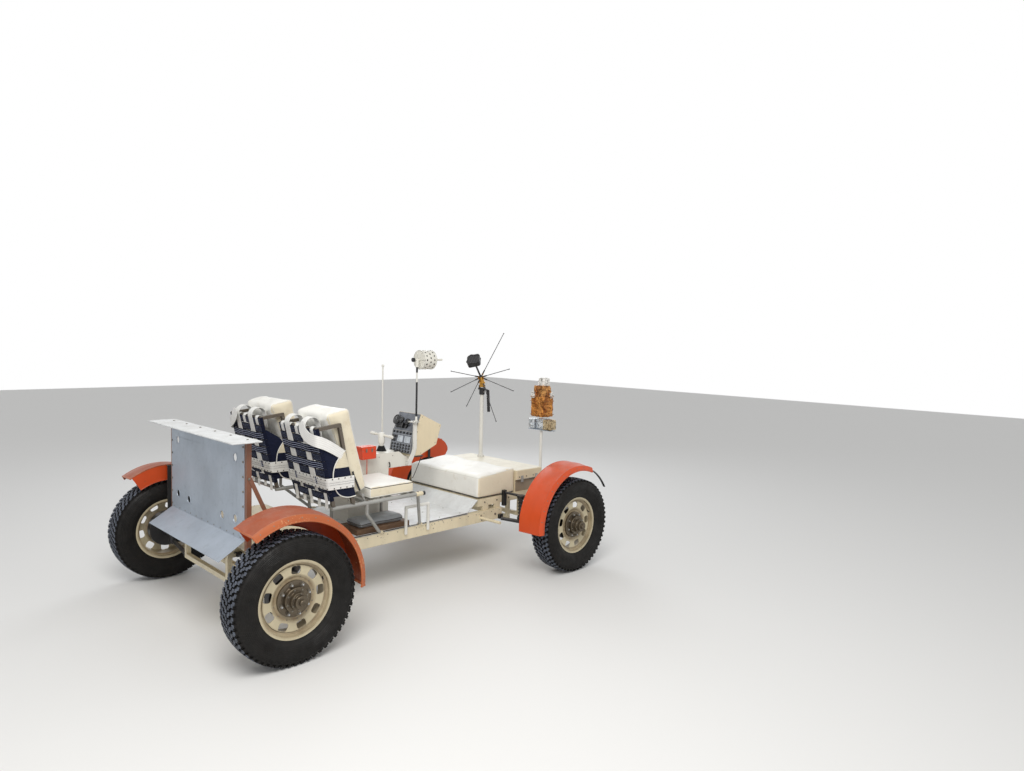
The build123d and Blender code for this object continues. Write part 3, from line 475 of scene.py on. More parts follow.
def paint(name, tone, worn, rough=(0.34, 0.55), chips=0.66, dust=0.25, dirt=0.35, coat=0.0, edge=True,
          # rings darken the paint by distance from the axle: grease stains, partly painted shade of the wheel's stepped
          # rings; top is a painted highlight, a lighter tone for level faces as if lit from above
          rings=None, top=None):
    # rings are stains round the axle, top is the bleached tone of level faces
    finish = Finish(name, Coat_Weight=coat, Coat_Roughness=0.25)
    base = finish.mix(finish.spots(0.3, 0.7, 1.0, 2.3, 4), tinted(tone, 0.90), tinted(tone, 1.05))
    # painted highlight: level faces lighter, as if lit from above
    if top:
        base = finish.mix(finish.upward(), base, top)
    base = finish.mix(finish.spots(0.42, 0.78, dirt, 1.0, 6, 0.65, finish.place((9, 9, 2.2))), base, tinted(tone, 0.62))
    powder = finish.sum("MULTIPLY", finish.upward(), finish.spots(0.35, 0.75, dust, 14, 6, 0.7))
    base = finish.mix(powder, base, dustTone)
    if rings:
        # darker rings round the axle: grease, partly painted shade of the wheel's stepped rings
        smears = finish.ramp(finish.noise(22, 5, 0.65), (0.2, 0.45), (0.7, 1.0))
        stain = finish.sum("MULTIPLY", finish.ramp(finish.fromAxle(), *rings), smears)
        base = finish.mix(stain, base, greaseAndShadeTone)
    nicks = finish.spots(chips, chips + 0.03, 1.0, 70, 5, 0.6)
    nicks = finish.sum("MULTIPLY", nicks, finish.spots(0.48, 0.6, 1.0, 5, 2))
    if edge:
        rubbed = finish.sum("MULTIPLY", finish.edges(), finish.spots(0.46, 0.56, 1.0, 26, 6, 0.7))
        nicks = finish.sum("MAXIMUM", nicks, rubbed)
    finish.colour(finish.mix(nicks, base, worn))
    finish.roughness(finish.noise(9, 5, 0.6), *rough)
    below = finish.bump(finish.noise(420, 2), 0.12, 0.0004)
    finish.bump(finish.sum("SUBTRACT", finish.noise(6, 3), nicks), 0.25, 0.0006, below)
    return finish.material


def metal(name, tone, rough=(0.28, 0.5), brushed=(1, 1, 1), marks=0.4, metallic=0.85):
    finish = Finish(name, Metallic=metallic)
    lines = finish.noise(60, 6, 0.7, finish.place(brushed))
    base = finish.mix(finish.spots(0.3, 0.75, 1.0, 3.5, 5, 0.6), tinted(tone, 0.82), tinted(tone, 1.10))
    base = finish.mix(finish.spots(0.55, 0.72, marks, 24, 7, 0.7), base, tinted(tone, 0.5))
    finish.colour(finish.mix(finish.ramp(lines, (0.45, 0.0), (0.7, 0.25)), base, tinted(tone, 1.25)))
    finish.roughness(finish.noise(11, 6, 0.65), *rough)
    below = finish.bump(lines, 0.10, 0.0004)
    finish.bump(finish.noise(3.2, 3), 0.18, 0.002, below)
    return finish.material


def vinyl(name, tone, stain, grain=520, crease=0.35):
    finish = Finish(name, Coat_Weight=0.12, Coat_Roughness=0.35, Sheen_Weight=0.06)
    base = finish.mix(finish.spots(0.35, 0.72, 1.0, 4.5, 5, 0.6), tone, tinted(tone, 0.92))
    finish.colour(finish.mix(finish.spots(0.56, 0.76, 0.5, 13, 7, 0.72), base, stain))
    finish.roughness(finish.noise(16, 4, 0.6), 0.40, 0.58)
    below = finish.bump(finish.cells(grain, "SMOOTH_F1"), 0.16, 0.0005)
    finish.bump(finish.noise(9, 3, 0.5, finish.place((1, 1, 1.6)), 1.2), crease, 0.004, below)
    return finish.material


def woven(name, tone, light, pitch=0.0016, dirt=0.3, sheen=0.25, shine=0.5):
    # woven along its own length: UV runs in metres along and across the strap
    finish = Finish(name, Sheen_Weight=sheen, Sheen_Roughness=0.5, Specular_IOR_Level=shine)
    flat = finish.place((1, 1, 1), "UV")
    across, along = finish.wave(1.0 / pitch / 20, flat, "X"), finish.wave(1.0 / pitch / 26, flat, "Y")
    weave = finish.sum("MULTIPLY", finish.wave(1.0 / pitch / 6.2832, flat, "DIAGONAL"), across)
    threads = finish.sum("ADD", weave, along)
    base = finish.mix(finish.ramp(threads, (0.3, 0.0), (1.0, 0.55)), tone, light)
    finish.colour(finish.mix(finish.spots(0.45, 0.75, dirt, 18, 6, 0.7), base, tinted(tone, 0.55)))
    finish.roughness(finish.noise(30, 4), 0.72, 0.92)
    below = finish.bump(threads, 0.5, 0.0007)
    finish.bump(finish.noise(22, 3), 0.3, 0.003, below)
    return finish.material


def foil(name, tone, glow, rough=(0.16, 0.34)):
    finish = Finish(name, Metallic=0.88)
    creases = finish.noise(26, 8, 0.62, finish.place((1, 1, 1.2)), 1.6)
    base = finish.mix(finish.spots(0.38, 0.62, 1.0, 15, 6, 0.7), tone, glow)
    # dark where the creases run: painted shade in the creases
    finish.colour(finish.mix(finish.ramp(creases, (0.38, 0.9), (0.52, 0.0)), base, tinted(tone, 0.3)))
    finish.roughness(finish.noise(30, 4), *rough)
    below = finish.bump(creases, 1.0, 0.010)
    finish.bump(finish.cells(70, "F1", finish.place((1.3, 0.8, 1))), 0.35, 0.003, below)
    return finish.material


def wood(name, tone):
    finish = Finish(name)
    grain = finish.noise(9, 8, 0.65, finish.place((1.2, 14, 14)), 1.0)
    rings = finish.wave(7, finish.place((0.5, 3.2, 3.2)), "Y", 5.0)
    base = finish.mix(finish.ramp(grain, (0.35, 0.0), (0.7, 1.0)), tinted(tone, 0.6), tinted(tone, 1.25))
    finish.colour(finish.mix(finish.ramp(rings, (0.4, 0.0), (0.9, 0.35)), base, tinted(tone, 0.5)))
    finish.roughness(finish.noise(20, 4), 0.55, 0.8)
    finish.bump(grain, 0.4, 0.0012)
    return finish.material


def rubber(name, tone, dusty, dust=0.5, shine=0.5):
    finish = Finish(name, Coat_Weight=0.05, Specular_IOR_Level=shine)
    base = finish.mix(finish.spots(0.3, 0.7, 1.0, 7, 5, 0.6), tone, tinted(tone, 1.6))
    finish.colour(finish.mix(finish.spots(0.40, 0.72, dust, 24, 7, 0.72), base, dusty))
    finish.roughness(finish.noise(18, 4), 0.52, 0.82)
    below = finish.bump(finish.noise(260, 3), 0.35, 0.0006)
    finish.bump(finish.noise(20, 4), 0.2, 0.002, below)
    return finish.material


def moulded(name, tone, rough=(0.3, 0.55), grain=300):
    finish = Finish(name, Coat_Weight=0.1)
    base = finish.mix(finish.spots(0.3, 0.7, 1.0, 15, 5), tinted(tone, 0.8), tinted(tone, 1.2))
    finish.colour(finish.mix(finish.spots(0.6, 0.72, 0.4, 60, 6, 0.7), base, tinted(tone, 2.4)))
    finish.roughness(finish.noise(25, 4), *rough)
    finish.bump(finish.noise(grain, 3), 0.22, 0.0005)
    return finish.material


bareSteel = shade(112, 104, 94)

# rust and grease on a wheel, partly painted shade of its stepped rings, by distance from the axle in quarters of a
# metre
wheelGreaseAndShade = ((0.40, 0.75), (0.46, 0.95), (0.54, 0.20), (0.69, 0.08), (0.75, 0.95), (0.80, 0.55), (0.862, 0.05), (0.90, 0.2))

finishes = {
    "cream_steel": paint("creamFramePaint", shade(222, 210, 180), bareSteel, dirt=0.45, chips=0.64),
    "cream_sheet": paint("creamSheetPaint", shade(226, 212, 180), bareSteel, dirt=0.30),
    # cream boxes: their level faces get a painted highlight through top
    "cream_box": paint("creamBoxPaint", shade(228, 214, 182), bareSteel, dirt=0.28, chips=0.67, top=shade(236, 231, 214)),
    "brownSheet": paint("brownGreySheet", shade(150, 134, 112), bareSteel, dirt=0.4),
    "cream_wheel": paint("creamWheelPaint", shade(208, 197, 166), shade(120, 108, 88), dirt=0.5, chips=0.65, rings=wheelGreaseAndShade),
    "white_sheet": paint("whiteSheetPaint", shade(226, 229, 230), shade(128, 128, 126), dirt=0.35, dust=0.35),
    "white_box": paint("whiteBoxPaint", shade(226, 224, 214), shade(140, 134, 120), dirt=0.25),
    "white_tube": paint("whiteTubePaint", shade(224, 223, 216), shade(120, 118, 112), dirt=0.2),
    "orange_brown_steel": paint("orangeBrownSteel", shade(132, 88, 68), bareSteel, dirt=0.6, chips=0.6),
    "orange_box": paint("orangeBoxPaint", shade(212, 64, 22), shade(140, 70, 40), dirt=0.25, coat=0.15),
    "orange_fender": paint("orangeFenderPaint", shade(208, 74, 18), shade(132, 70, 44), (0.34, 0.5), dirt=0.4, coat=0.1),
    "rust_fender": paint("rustFenderPaint", shade(158, 74, 38), shade(200, 150, 122), (0.4, 0.62), dirt=0.5, chips=0.62),
    "paleLip": paint("fenderLipPaint", shade(176, 92, 48), shade(216, 166, 120), (0.36, 0.55), dirt=0.4, chips=0.6, edge=False),
    "black_steel": paint("blackSteelPaint", shade(30, 30, 32), shade(96, 90, 82), dirt=0.2, dust=0.5),
    "spring": paint("springPaint", shade(40, 40, 42), shade(120, 112, 100), dirt=0.3, edge=False),
    "white_vinyl": vinyl("whiteVinyl", shade(240, 239, 233), shade(196, 184, 156)),
    # vinyl for the pads' sides: painted shade, darker and warmer than the white tops
    "sideShadeVinyl": vinyl("sideShadeVinyl", shade(232, 222, 197), shade(190, 172, 136)),
    "grey_pad": vinyl("greyPadCloth", shade(146, 150, 153), shade(112, 110, 104), 700, 0.5),
    "paleThread": vinyl("paleThread", shade(150, 158, 184), shade(92, 100, 130), 900, 0.1),
    "whitePiping": vinyl("whitePiping", shade(232, 231, 224), shade(190, 182, 160), 900, 0.1),
    "darkPiping": vinyl("darkPiping", shade(58, 56, 54), shade(40, 38, 36), 900, 0.1),
    "navy_webbing": woven("navyWebbing", shade(11, 15, 32), shade(22, 29, 56), sheen=0.04, shine=0.15),
    "white_webbing": woven("whiteWebbing", shade(226, 226, 222), shade(246, 246, 244), dirt=0.15),
    "navyThread": woven("navyThread", shade(60, 74, 112), shade(110, 126, 164)),
    "creamPocket": woven("creamPocketCloth", shade(214, 204, 178), shade(232, 224, 202), 0.0012, dirt=0.25),
    "navyPocket": woven("navyPocketCloth", shade(12, 17, 38), shade(24, 33, 62), 0.0012, dirt=0.2, sheen=0.05, shine=0.2),
    "board_wood": wood("boardWood", shade(112, 84, 60)),
    "bare_aluminium": metal("bareAluminium", shade(170, 179, 190), (0.42, 0.6), brushed=(1, 22, 1.5), metallic=0.6),
    "gold_fitting": metal("goldFitting", shade(190, 142, 66), (0.25, 0.45), metallic=0.9),
    "hubSteel": metal("hubSteel", shade(104, 94, 80), (0.28, 0.5), marks=0.9, metallic=0.8),
    "bolts": metal("boltSteel", shade(132, 126, 116), (0.3, 0.55), marks=0.6, metallic=0.8),
    "brightBolts": metal("brightSteel", shade(186, 188, 190), (0.22, 0.4), marks=0.3, metallic=0.9),
    "snaps": metal("snapSteel", shade(84, 78, 72), (0.3, 0.5), marks=0.5, metallic=0.75),
    "greyTube": metal("greyTubeMetal", shade(166, 166, 162), (0.34, 0.55), marks=0.5, metallic=0.35),
    # a darker copy of the grey tube metal for the back frames: painted shade
    "shadedTube": metal("shadedTubeMetal", shade(104, 96, 86), (0.38, 0.58), marks=0.6, metallic=0.35),
    "silver_foil": foil("silverFoil", shade(206, 214, 222), shade(238, 240, 240)),
    "gold_foil": foil("goldFoil", shade(150, 84, 34), shade(226, 158, 84)),
    "copperFoil": foil("copperFoil", shade(140, 80, 40), shade(212, 156, 92)),
    "whiteFoil": foil("whiteFoil", shade(232, 228, 220), shade(248, 246, 242), (0.3, 0.5)),
    "tanFoil": foil("tanFoil", shade(182, 158, 120), shade(220, 204, 170)),
    "tyre": rubber("tyreRubber", shade(13, 12, 11), shade(40, 35, 30), 0.3, 0.25),
    # the tread blocks' tops: dust, and painted bluish light
    "treadTopDustAndLight": rubber("treadTopDustAndLight", shade(44, 48, 56), shade(104, 112, 128), 0.8),
    "blackFoam": rubber("blackFoam", shade(20, 20, 22), shade(40, 40, 44), 0.3),
    "dark_panel": moulded("panelPaint", shade(112, 116, 124), (0.45, 0.65)),
    "black_fitting": moulded("blackFitting", shade(24, 24, 26)),
    "darkLedge": moulded("darkFloorTrim", shade(62, 60, 58), (0.55, 0.75)),
    "gaugeGlass": moulded("gaugeGlass", shade(14, 16, 18), (0.08, 0.16), 40),
    "paleWindow": moulded("paleWindow", shade(206, 214, 222), (0.2, 0.3), 80),
}
print("finishes made:", len(finishes))


# CAD nodes keep their shape and get their finish, with slightly broken edges

# the back frames get the darker tube metal: painted shade
nodeFinish = {"spring_units": "black_steel", "seat_frames": "greyTube", "back_frames": "shadedTube"}
softEdge = {"width": 0.0014, "angle": 38.0, "weld": 0.00002}


def dressNodes():
    for name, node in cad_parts.items():
        had = node.data.materials[0].name if node.data.materials else ""
        finish = finishes.get(nodeFinish.get(name, had.split(".")[0]), finishes["cream_steel"])
        for place in node.material_slots:
            place.material = finish
        weld = node.modifiers.new("weldSeams", "WELD")
        weld.merge_threshold = softEdge["weld"]
        edge = node.modifiers.new("brokenEdges", "BEVEL")
        edge.width = softEdge["width"]
        edge.segments = 2
        edge.limit_method = "ANGLE"
        edge.angle_limit = math.radians(softEdge["angle"])
        edge.harden_normals = False
        smooth = node.modifiers.new("weightedNormals", "WEIGHTED_NORMAL")
        smooth.keep_sharp = True
    print("CAD nodes dressed:", len(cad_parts))


dressNodes()


# Padded pieces: cut from the CAD solid, blown up a little and sewn

seatMiddle = 0.365  # from the rover's middle plane
# sideShadeFacing: how far a face turns sideways before it takes the painted side shade
puff = {"inset": 0.004, "quality": 4, "lastFrame": 20, "smoothing": 0.4, "sideShadeFacing": 0.6}


def loosePart(node, side):
    # a copy of the node's mesh: the left seat's with side 1, the right seat's with -1, all of it with 0
    work = bmesh.new()
    work.from_mesh(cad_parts[node].data)
    bmesh.ops.remove_doubles(work, verts=work.verts, dist=softEdge["weld"])
    bmesh.ops.delete(work, geom=[v for v in work.verts if v.co.y * side < 0], context="VERTS")
    mesh = bpy.data.meshes.new(node + "Copy")
    work.to_mesh(mesh)
    work.free()
    return mesh


def applyAll(piece):
    bpy.context.view_layer.update()
    graph = bpy.context.evaluated_depsgraph_get()
    mesh = bpy.data.meshes.new_from_object(piece.evaluated_get(graph))
    piece.modifiers.clear()
    piece.data = mesh


def puffed(name, mesh, cap, voxel, pressure):
    # the cloth starts a little inside the solid, and no point moves further than the cap
    axes = list(zip(*[v.co for v in mesh.vertices]))
    low, high = (Vector([pick(axis) for axis in axes]) for pick in (min, max))
    middle, size = (low + high) / 2, high - low
    for vertex in mesh.vertices:
        offset = vertex.co - middle
        vertex.co = middle + Vector([offset[i] * ((size[i] - 2 * puff["inset"]) / size[i]) for i in range(3)])
    piece = bpy.data.objects.new(name, mesh)
    scene.collection.objects.link(piece)
    remesh = piece.modifiers.new("voxels", "REMESH")
    remesh.mode = "VOXEL"
    remesh.voxel_size = voxel
    remesh.use_smooth_shade = True
    applyAll(piece)
    rest = [v.co.copy() for v in piece.data.vertices]
    cloth = piece.modifiers.new("puff", "CLOTH").settings
    cloth.use_pressure = True
    cloth.uniform_pressure_force = pressure
    cloth.effector_weights.gravity = 0
    cloth.quality = puff["quality"]
    for step in range(1, puff["lastFrame"] + 1):
        scene.frame_set(step)
    applyAll(piece)
    for vertex, was in zip(piece.data.vertices, rest):
        move = vertex.co - was
        if move.length > cap:
            vertex.co = was + move.normalized() * cap
    scene.frame_set(1)
    work = bmesh.new()
    work.from_mesh(piece.data)
    for turn in range(2):
        bmesh.ops.smooth_vert(work, verts=work.verts, factor=puff["smoothing"],
                              use_axis_x=True, use_axis_y=True, use_axis_z=True)
    for face in work.faces:
        face.smooth = True
    work.to_mesh(piece.data)
    work.free()
    return piece


def makePad(name, node, side, values, pressure, reshape=None):
    piece = puffed(name, loosePart(node, side), values["cap"], values["voxel"], pressure)
    if reshape:
        reshape(piece, *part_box(node))
    piece.data.materials.clear()
    for finishName in values["finishes"]:
        piece.data.materials.append(finishes[finishName])
    # sideways faces get the second finish: painted shade on the pads' sides
    if len(values["finishes"]) > 1:
        for polygon in piece.data.polygons:
            polygon.material_index = 1 if abs(polygon.normal.y) > puff["sideShadeFacing"] else 0
    fine = piece.modifiers.new("fine", "SUBSURF")
    fine.levels = fine.render_levels = 1
    settle(piece, "rover", [node])
    return piece


def roundedLoop(corners, radius, step=0.012):
    # a closed line through the corners, each one rounded
    corners = [Vector(c) for c in corners]
    line = []

    def runTo(last):
        first = line[-1].copy()
        count = max(1, int((last - first).length / step))
        line.extend(first + (last - first) * k / count for k in range(1, count))

    for i, corner in enumerate(corners):
        first = corner + (corners[i - 1] - corner).normalized() * radius
        last = corner + (corners[(i + 1) % len(corners)] - corner).normalized() * radius
        if line:
            runTo(first)
        for k in range(7):
            t = k / 6
            line.append(first * (1 - t) ** 2 + corner * 2 * t * (1 - t) + last * t ** 2)
    runTo(line[0])
    return line


def seamOn(piece, corners, rounding, size, sides, finishName):
    # piping round the corners, laid on the piece's own surface and relaxed
    mesh = piece.data
    tree = BVHTree.FromPolygons([v.co for v in mesh.vertices], [tuple(p.vertices) for p in mesh.polygons])
    line = [tree.find_nearest(point)[0] for point in roundedLoop(corners, rounding)]
    for turn in range(3):
        line = [(line[i - 1] + line[i] * 2 + line[(i + 1) % len(line)]) / 4 for i in range(len(line))]
    return tubeShape(line, size, sides, True), finishName


cushion = {"cap": 0.009, "voxel": 0.0075, "fill": 0.75, "finishes": ("white_vinyl", "sideShadeVinyl"),
           "piping": 0.0026, "half": 0.206, "top": 0.7875, "low": 0.720, "front": -0.066, "rear": -0.424}


def makeCushion(name, side, pressure):
    piece = makePad(name, "seat_cushions", side, cushion, pressure)
    right, left = (seatMiddle * side + edge * cushion["half"] for edge in (-1, 1))
    front, rear = cushion["front"], cushion["rear"]
    for label, z, finishName in (("TopPiping", cushion["top"], "darkPiping"), ("LowPiping", cushion["low"], "whitePiping")):
        corners = [(front, right, z), (front, left, z), (rear, left, z), (rear, right, z)]
        makePiece(name + label, [seamOn(piece, corners, 0.02, cushion["piping"], 8, finishName)], "rover",
                  sharp=60)


block = {"cap": 0.010, "voxel": 0.0085, "fill": 0.85, "finishes": ("white_vinyl", "sideShadeVinyl"),
         "piping": 0.0019, "half": 0.203, "round": 0.045,
         "outline": [(-0.434, 0.782), (-0.524, 0.754), (-0.752, 1.296), (-0.582, 1.330)]}


def makeBackrest(name, side, pressure):
    piece = makePad(name, "backrest_blocks", side, block, pressure)
    seams = []
    for edge in (-1, 1):
        corners = [(x, seatMiddle * side + edge * block["half"], z) for x, z in block["outline"]]
        seams.append(seamOn(piece, corners, block["round"], block["piping"], 6, "whitePiping"))
    makePiece(name + "Seams", seams, "rover", sharp=60)


cover = {"cap": 0.009, "voxel": 0.013, "fill": 0.7, "finishes": ("white_vinyl", "sideShadeVinyl"),
         "softFrom": 0.6, "wave": 0.0055, "dents": 0.005, "rearDrop": 0.036, "footRise": 0.004}


def waveTop(piece, low, high):
    # the top is a soft cover that waves along its far edge
    ripple = dice.uniform(0, 9)
    for vertex in piece.data.vertices:
        x, y, z = vertex.co
        if z > low.z + cover["softFrom"] * (high.z - low.z):
            share = min(1.0, (z - low.z) / (high.z - low.z))
            forward = 0.4 + 0.6 * (x - low.x) / (high.x - low.x)
            vertex.co.z += cover["wave"] * share * math.sin(y * 17 + ripple) * forward
            vertex.co.z += cover["dents"] * noise.noise(Vector((x * 9, y * 9, 1.3)))


def makeFrontCover():
    piece = makePad("frontBoxCover", "front_box", 0, cover, 5.0, waveTop)
    low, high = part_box("front_box")
    seams = []
    for rear, front, size, finishName in ((high.z - cover["rearDrop"], high.z, 0.0026, "whitePiping"),
                                          (low.z + cover["footRise"], low.z + cover["footRise"], 0.004, "darkPiping")):
        corners = [(low.x, low.y, rear), (high.x, low.y, front), (high.x, high.y, front), (low.x, high.y, rear)]
        seams.append(seamOn(piece, corners, 0.03, size, 6, finishName))
    makePiece("frontBoxSeams", seams, "rover", sharp=60)


boardPad = {"cap": 0.010, "voxel": 0.006, "fill": 0.45, "finishes": ("grey_pad",), "dents": 0.006, "drop": 0.003}


def dentTop(piece, low, high):
    for vertex in piece.data.vertices:
        x, y, z = vertex.co
        if z > (low.z + high.z) / 2:
            vertex.co.z += boardPad["dents"] * noise.noise(Vector((x * 11, y * 14, 4.1))) - boardPad["drop"]


def makeBoardPad():
    piece = makePad("boardPad", "deck_pad", 0, boardPad, 4.0, dentTop)
    low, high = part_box("deck_pad")
    z = (low.z + high.z) / 2
    corners = [(low.x, low.y, z), (high.x, low.y, z), (high.x, high.y, z), (low.x, high.y, z)]
    makePiece("boardPadSeam", [seamOn(piece, corners, 0.025, 0.003, 8, "darkPiping")], "rover", sharp=60)


# the two seats' pressures differ a little, so that they aren't twins
makeCushion("rightCushion", -1, 4.4)
makeCushion("leftCushion", 1, 4.0)
makeBackrest("rightBackrest", -1, 4.0)
makeBackrest("leftBackrest", 1, 3.6)
makeFrontCover()
makeBoardPad()
print("padded pieces made")


# Woven seat backs on their loop frames

weaving = {
    "halfWidth": 0.229, "low": 0.748, "high": 1.206, "levels": 9, "levelWidth": 0.0500, "frontLevels": (2, 4, 6),
    "uprights": 5, "uprightWidth": 0.036, "thick": 0.0016, "lift": 0.0012, "stand": 0.0035, "sag": 0.004,
    "tailLow": 0.706, "lean": 0.24, "foot": (-0.7116, 0.700), "rod": (-0.820, 1.200, 0.0165),
    "folds": [(0.0020, 0.0015), (-0.0010, 0.0030), (-0.008, 0.0034), (-0.0176, 0.0034)],  # out and extra half width
}
pitch = (weaving["high"] - weaving["low"]) / weaving["levels"]
backTilt = Vector((-weaving["lean"], 0, 1)).normalized()
shoulder = {
    "inner": -0.105, "outer": 0.095, "width": 0.060, "thick": 0.0034, "foot": 0.900, "arch": 0.052, "top": 1.216,
    "behind": 0.0105, "crossing": 0.0136, "fade": 0.022,
    # the outer strap's way down to the pocket: its two edges, with y from the seat's middle
    "edges": [[(-0.8560, 0.1235, 1.250), (-0.8555, 0.142, 1.214), (-0.8520, 0.176, 1.188), (-0.8460, 0.212, 1.174),
               (-0.8270, 0.2370, 1.166), (-0.7820, 0.2410, 1.150), (-0.7200, 0.2410, 1.116), (-0.6400, 0.2360, 1.064)],
              [(-0.8560, 0.0660, 1.228), (-0.8570, 0.0760, 1.180), (-0.8550, 0.116, 1.138), (-0.8470, 0.172, 1.110),
               (-0.8260, 0.2340, 1.094), (-0.7860, 0.2410, 1.078), (-0.7250, 0.2410, 1.046), (-0.6560, 0.2360, 1.004)]],
}


def backPoint(z, out):
    # a point of the woven back at height z, out metres behind its front face
    x = weaving["foot"][0] - weaving["lean"] * (z - weaving["foot"][1])
    slope = math.hypot(1, weaving["lean"])
    return Vector((x - out / slope, 0, z - weaving["lean"] * out / slope))


def overOrUnder(level, upright):
    # 1 where the level band lies behind the upright's front, -1 where it lies in front
    return 1 if level in weaving["frontLevels"] or (level + upright) % 2 else -1


def weaveAt(place, count, sign):
    # how far a band stands out at a place between two of the bands it crosses, from -1 to 1
    first = max(0, min(count - 1, math.floor(place)))
    share = eased(place - first)
    return sign(first) * (1 - share) + sign(min(count - 1, first + 1)) * share


def weaveOut(weave):
    return weaving["stand"] + weaving["lift"] * max(-1, min(1, 1.8 * weave))


def sagAt(y):
    return weaving["sag"] * math.cos(y / weaving["halfWidth"] * math.pi / 2)


def bandOut(level, y, side):
    # how far behind the woven back's face a level band runs at y; front bands go over the shoulder straps
    place = y / (weaving["halfWidth"] * 2 / weaving["uprights"]) + (weaving["uprights"] - 1) / 2
    out = weaveOut(weaveAt(place, weaving["uprights"], lambda upright: overOrUnder(level, upright))) + sagAt(y)
    if level not in weaving["frontLevels"]:
        return out
    gap = min(abs(y - side * shoulder[name]) for name in ("inner", "outer")) - shoulder["width"] / 2
    return out + max(0.0, shoulder["crossing"] - out) * eased(1 - gap / shoulder["fade"])


def ribbon(path, width, thick, side=(0, 1, 0)):
    # a strap along the path; its width lies along side, and UV follows its length
    centres = [Vector(p) for p in path]
    across, normals = [], []
    for i in range(len(centres)):
        along = heading(centres, i)
        across.append((Vector(side) - along * Vector(side).dot(along)).normalized())
        normals.append(along.cross(across[i]))
    return ribbonShape(centres, across, normals, [width] * len(centres), thick)


def bandBetween(upper, lower, thick):
    # a strap between two edge lines
    centres = [p.lerp(q, 0.5) for p, q in zip(upper, lower)]
    across = [p - q for p, q in zip(upper, lower)]
    normals = [heading(centres, i).cross(way).normalized() for i, way in enumerate(across)]
    return ribbonShape(centres, across, normals, [way.length for way in across], thick)


def levelPath(level, side, rise=0.0, out=0.0):
    z = weaving["low"] + (level + 0.5) * pitch + rise
    path = []
    for k in range(41):
        y = -weaving["halfWidth"] + 2 * weaving["halfWidth"] * k / 40
        p = backPoint(z, bandOut(level, y, side) + out)
        path.append((p.x, seatMiddle * side + y, p.z))
    return path


def levelBands(side):
    shapes = []
    for level in range(weaving["levels"]):
        # both ends fold forward round the loop frame's rear bar
        folds = []
        for end in (-1, 1):
            points = [(backPoint(weaving["low"] + (level + 0.5) * pitch, out), extra) for out, extra in weaving["folds"]]
            folds.append([(p.x, seatMiddle * side + end * (weaving["halfWidth"] + extra), p.z) for p, extra in points])
        path = folds[0][::-1] + levelPath(level, side) + folds[1]
        shapes.append(ribbon(path, weaving["levelWidth"], weaving["thick"], backTilt))
    return shapes


def uprightBands(side):
    shapes = []
    w = weaving
    rodX, rodZ, rodR = w["rod"]
    for upright in range(w["uprights"]):
        aside = (upright - (w["uprights"] - 1) / 2) * w["halfWidth"] * 2 / w["uprights"]
        y = seatMiddle * side + aside
        tail = w["tailLow"] + dice.uniform(-0.012, 0.012)
        lean = dice.uniform(-0.012, 0.012)
        path, steps = [], 54
        for k in range(steps + 1):
            z = tail + (w["high"] - 0.006 - tail) * k / steps
            weave = weaveAt((z - w["low"]) / pitch - 0.5, w["levels"], lambda level: overOrUnder(level, upright))
            loose = max(0.0, w["low"] - z)
            p = backPoint(z, weaveOut(-weave) + sagAt(aside) * (z > w["low"]) + loose * 0.25)
            path.append((p.x, y + lean * loose * 12, p.z))
        # over the cross rod and down its front
        for k in range(1, 9):
            turn = spoke(rodR, math.pi * k / 8)
            path.append((rodX - turn.x, y, rodZ + turn.y))
        path += [(rodX + rodR + drop * 0.18, y, rodZ - drop) for drop in (0.02, 0.045, 0.07)]
        shapes.append(ribbon(path, w["uprightWidth"], w["thick"]))
    return shapes


def shoulderStraps(side):
    s = shoulder
    shapes = []
    for offset in (s["inner"], s["outer"]):
        y = (seatMiddle + offset) * side
        path = []
        for k in range(15):
            p = backPoint(s["foot"] + (s["top"] - s["foot"]) * k / 14, s["behind"])
            path.append((p.x, y, p.z))
        middleX, middleZ = path[-1][0] + s["arch"], path[-1][2]
        for k in range(1, 13):
            turn = spoke(s["arch"], math.pi - math.pi * k / 12 * 1.02)
            path.append((middleX + turn.x, y, middleZ + turn.y))
        lastX, lastZ = path[-1][0], path[-1][2]
        path += [(lastX + 0.012 * t, y + side * 0.004 * t, lastZ - 0.085 * t) for t in (k / 6 for k in range(1, 7))]
        shapes.append(ribbon(path, s["width"], s["thick"]))
        # the doubled foot
        foot = [backPoint(s["foot"] + 0.055 * k / 4, s["behind"] + 0.0035) for k in range(5)]
        shapes.append(ribbon([(p.x, y, p.z) for p in foot], s["width"] * 0.96, 0.002))
    # the outer strap goes on down to the pocket's front corner
    edges = [smoothLine([(x, (seatMiddle + y) * side, z) for x, y, z in edge], 5) for edge in s["edges"]]
    shapes.append(bandBetween(edges[0], edges[1], 0.0026))
    return shapes


pocket = {
    "front": [(-0.632, 1.060), (-0.552, 0.765)], "bulge": 0.010, "split": 0.955, "piping": 0.0036,
    "rear": [(-0.632, 1.060), (-0.672, 1.022), (-0.705, 0.968), (-0.716, 0.905), (-0.706, 0.840), (-0.672, 0.786),
             (-0.612, 0.762), (-0.552, 0.765)],
    "paleRows": 10, "rows": 30, "columns": 12,
}
# a dark navy sheet between the woven back and the pocket, painted shadow where the cushion's back lies in shade: its
# front edge by height
shadowSheet = {
    "front": [(0.775, -0.660), (0.840, -0.695), (0.905, -0.704), (0.968, -0.693), (1.022, -0.660), (1.060, -0.690),
              (1.090, -0.740), (1.120, -0.790)],
    "rows": 18, "columns": 7, "crease": 0.0022,
}


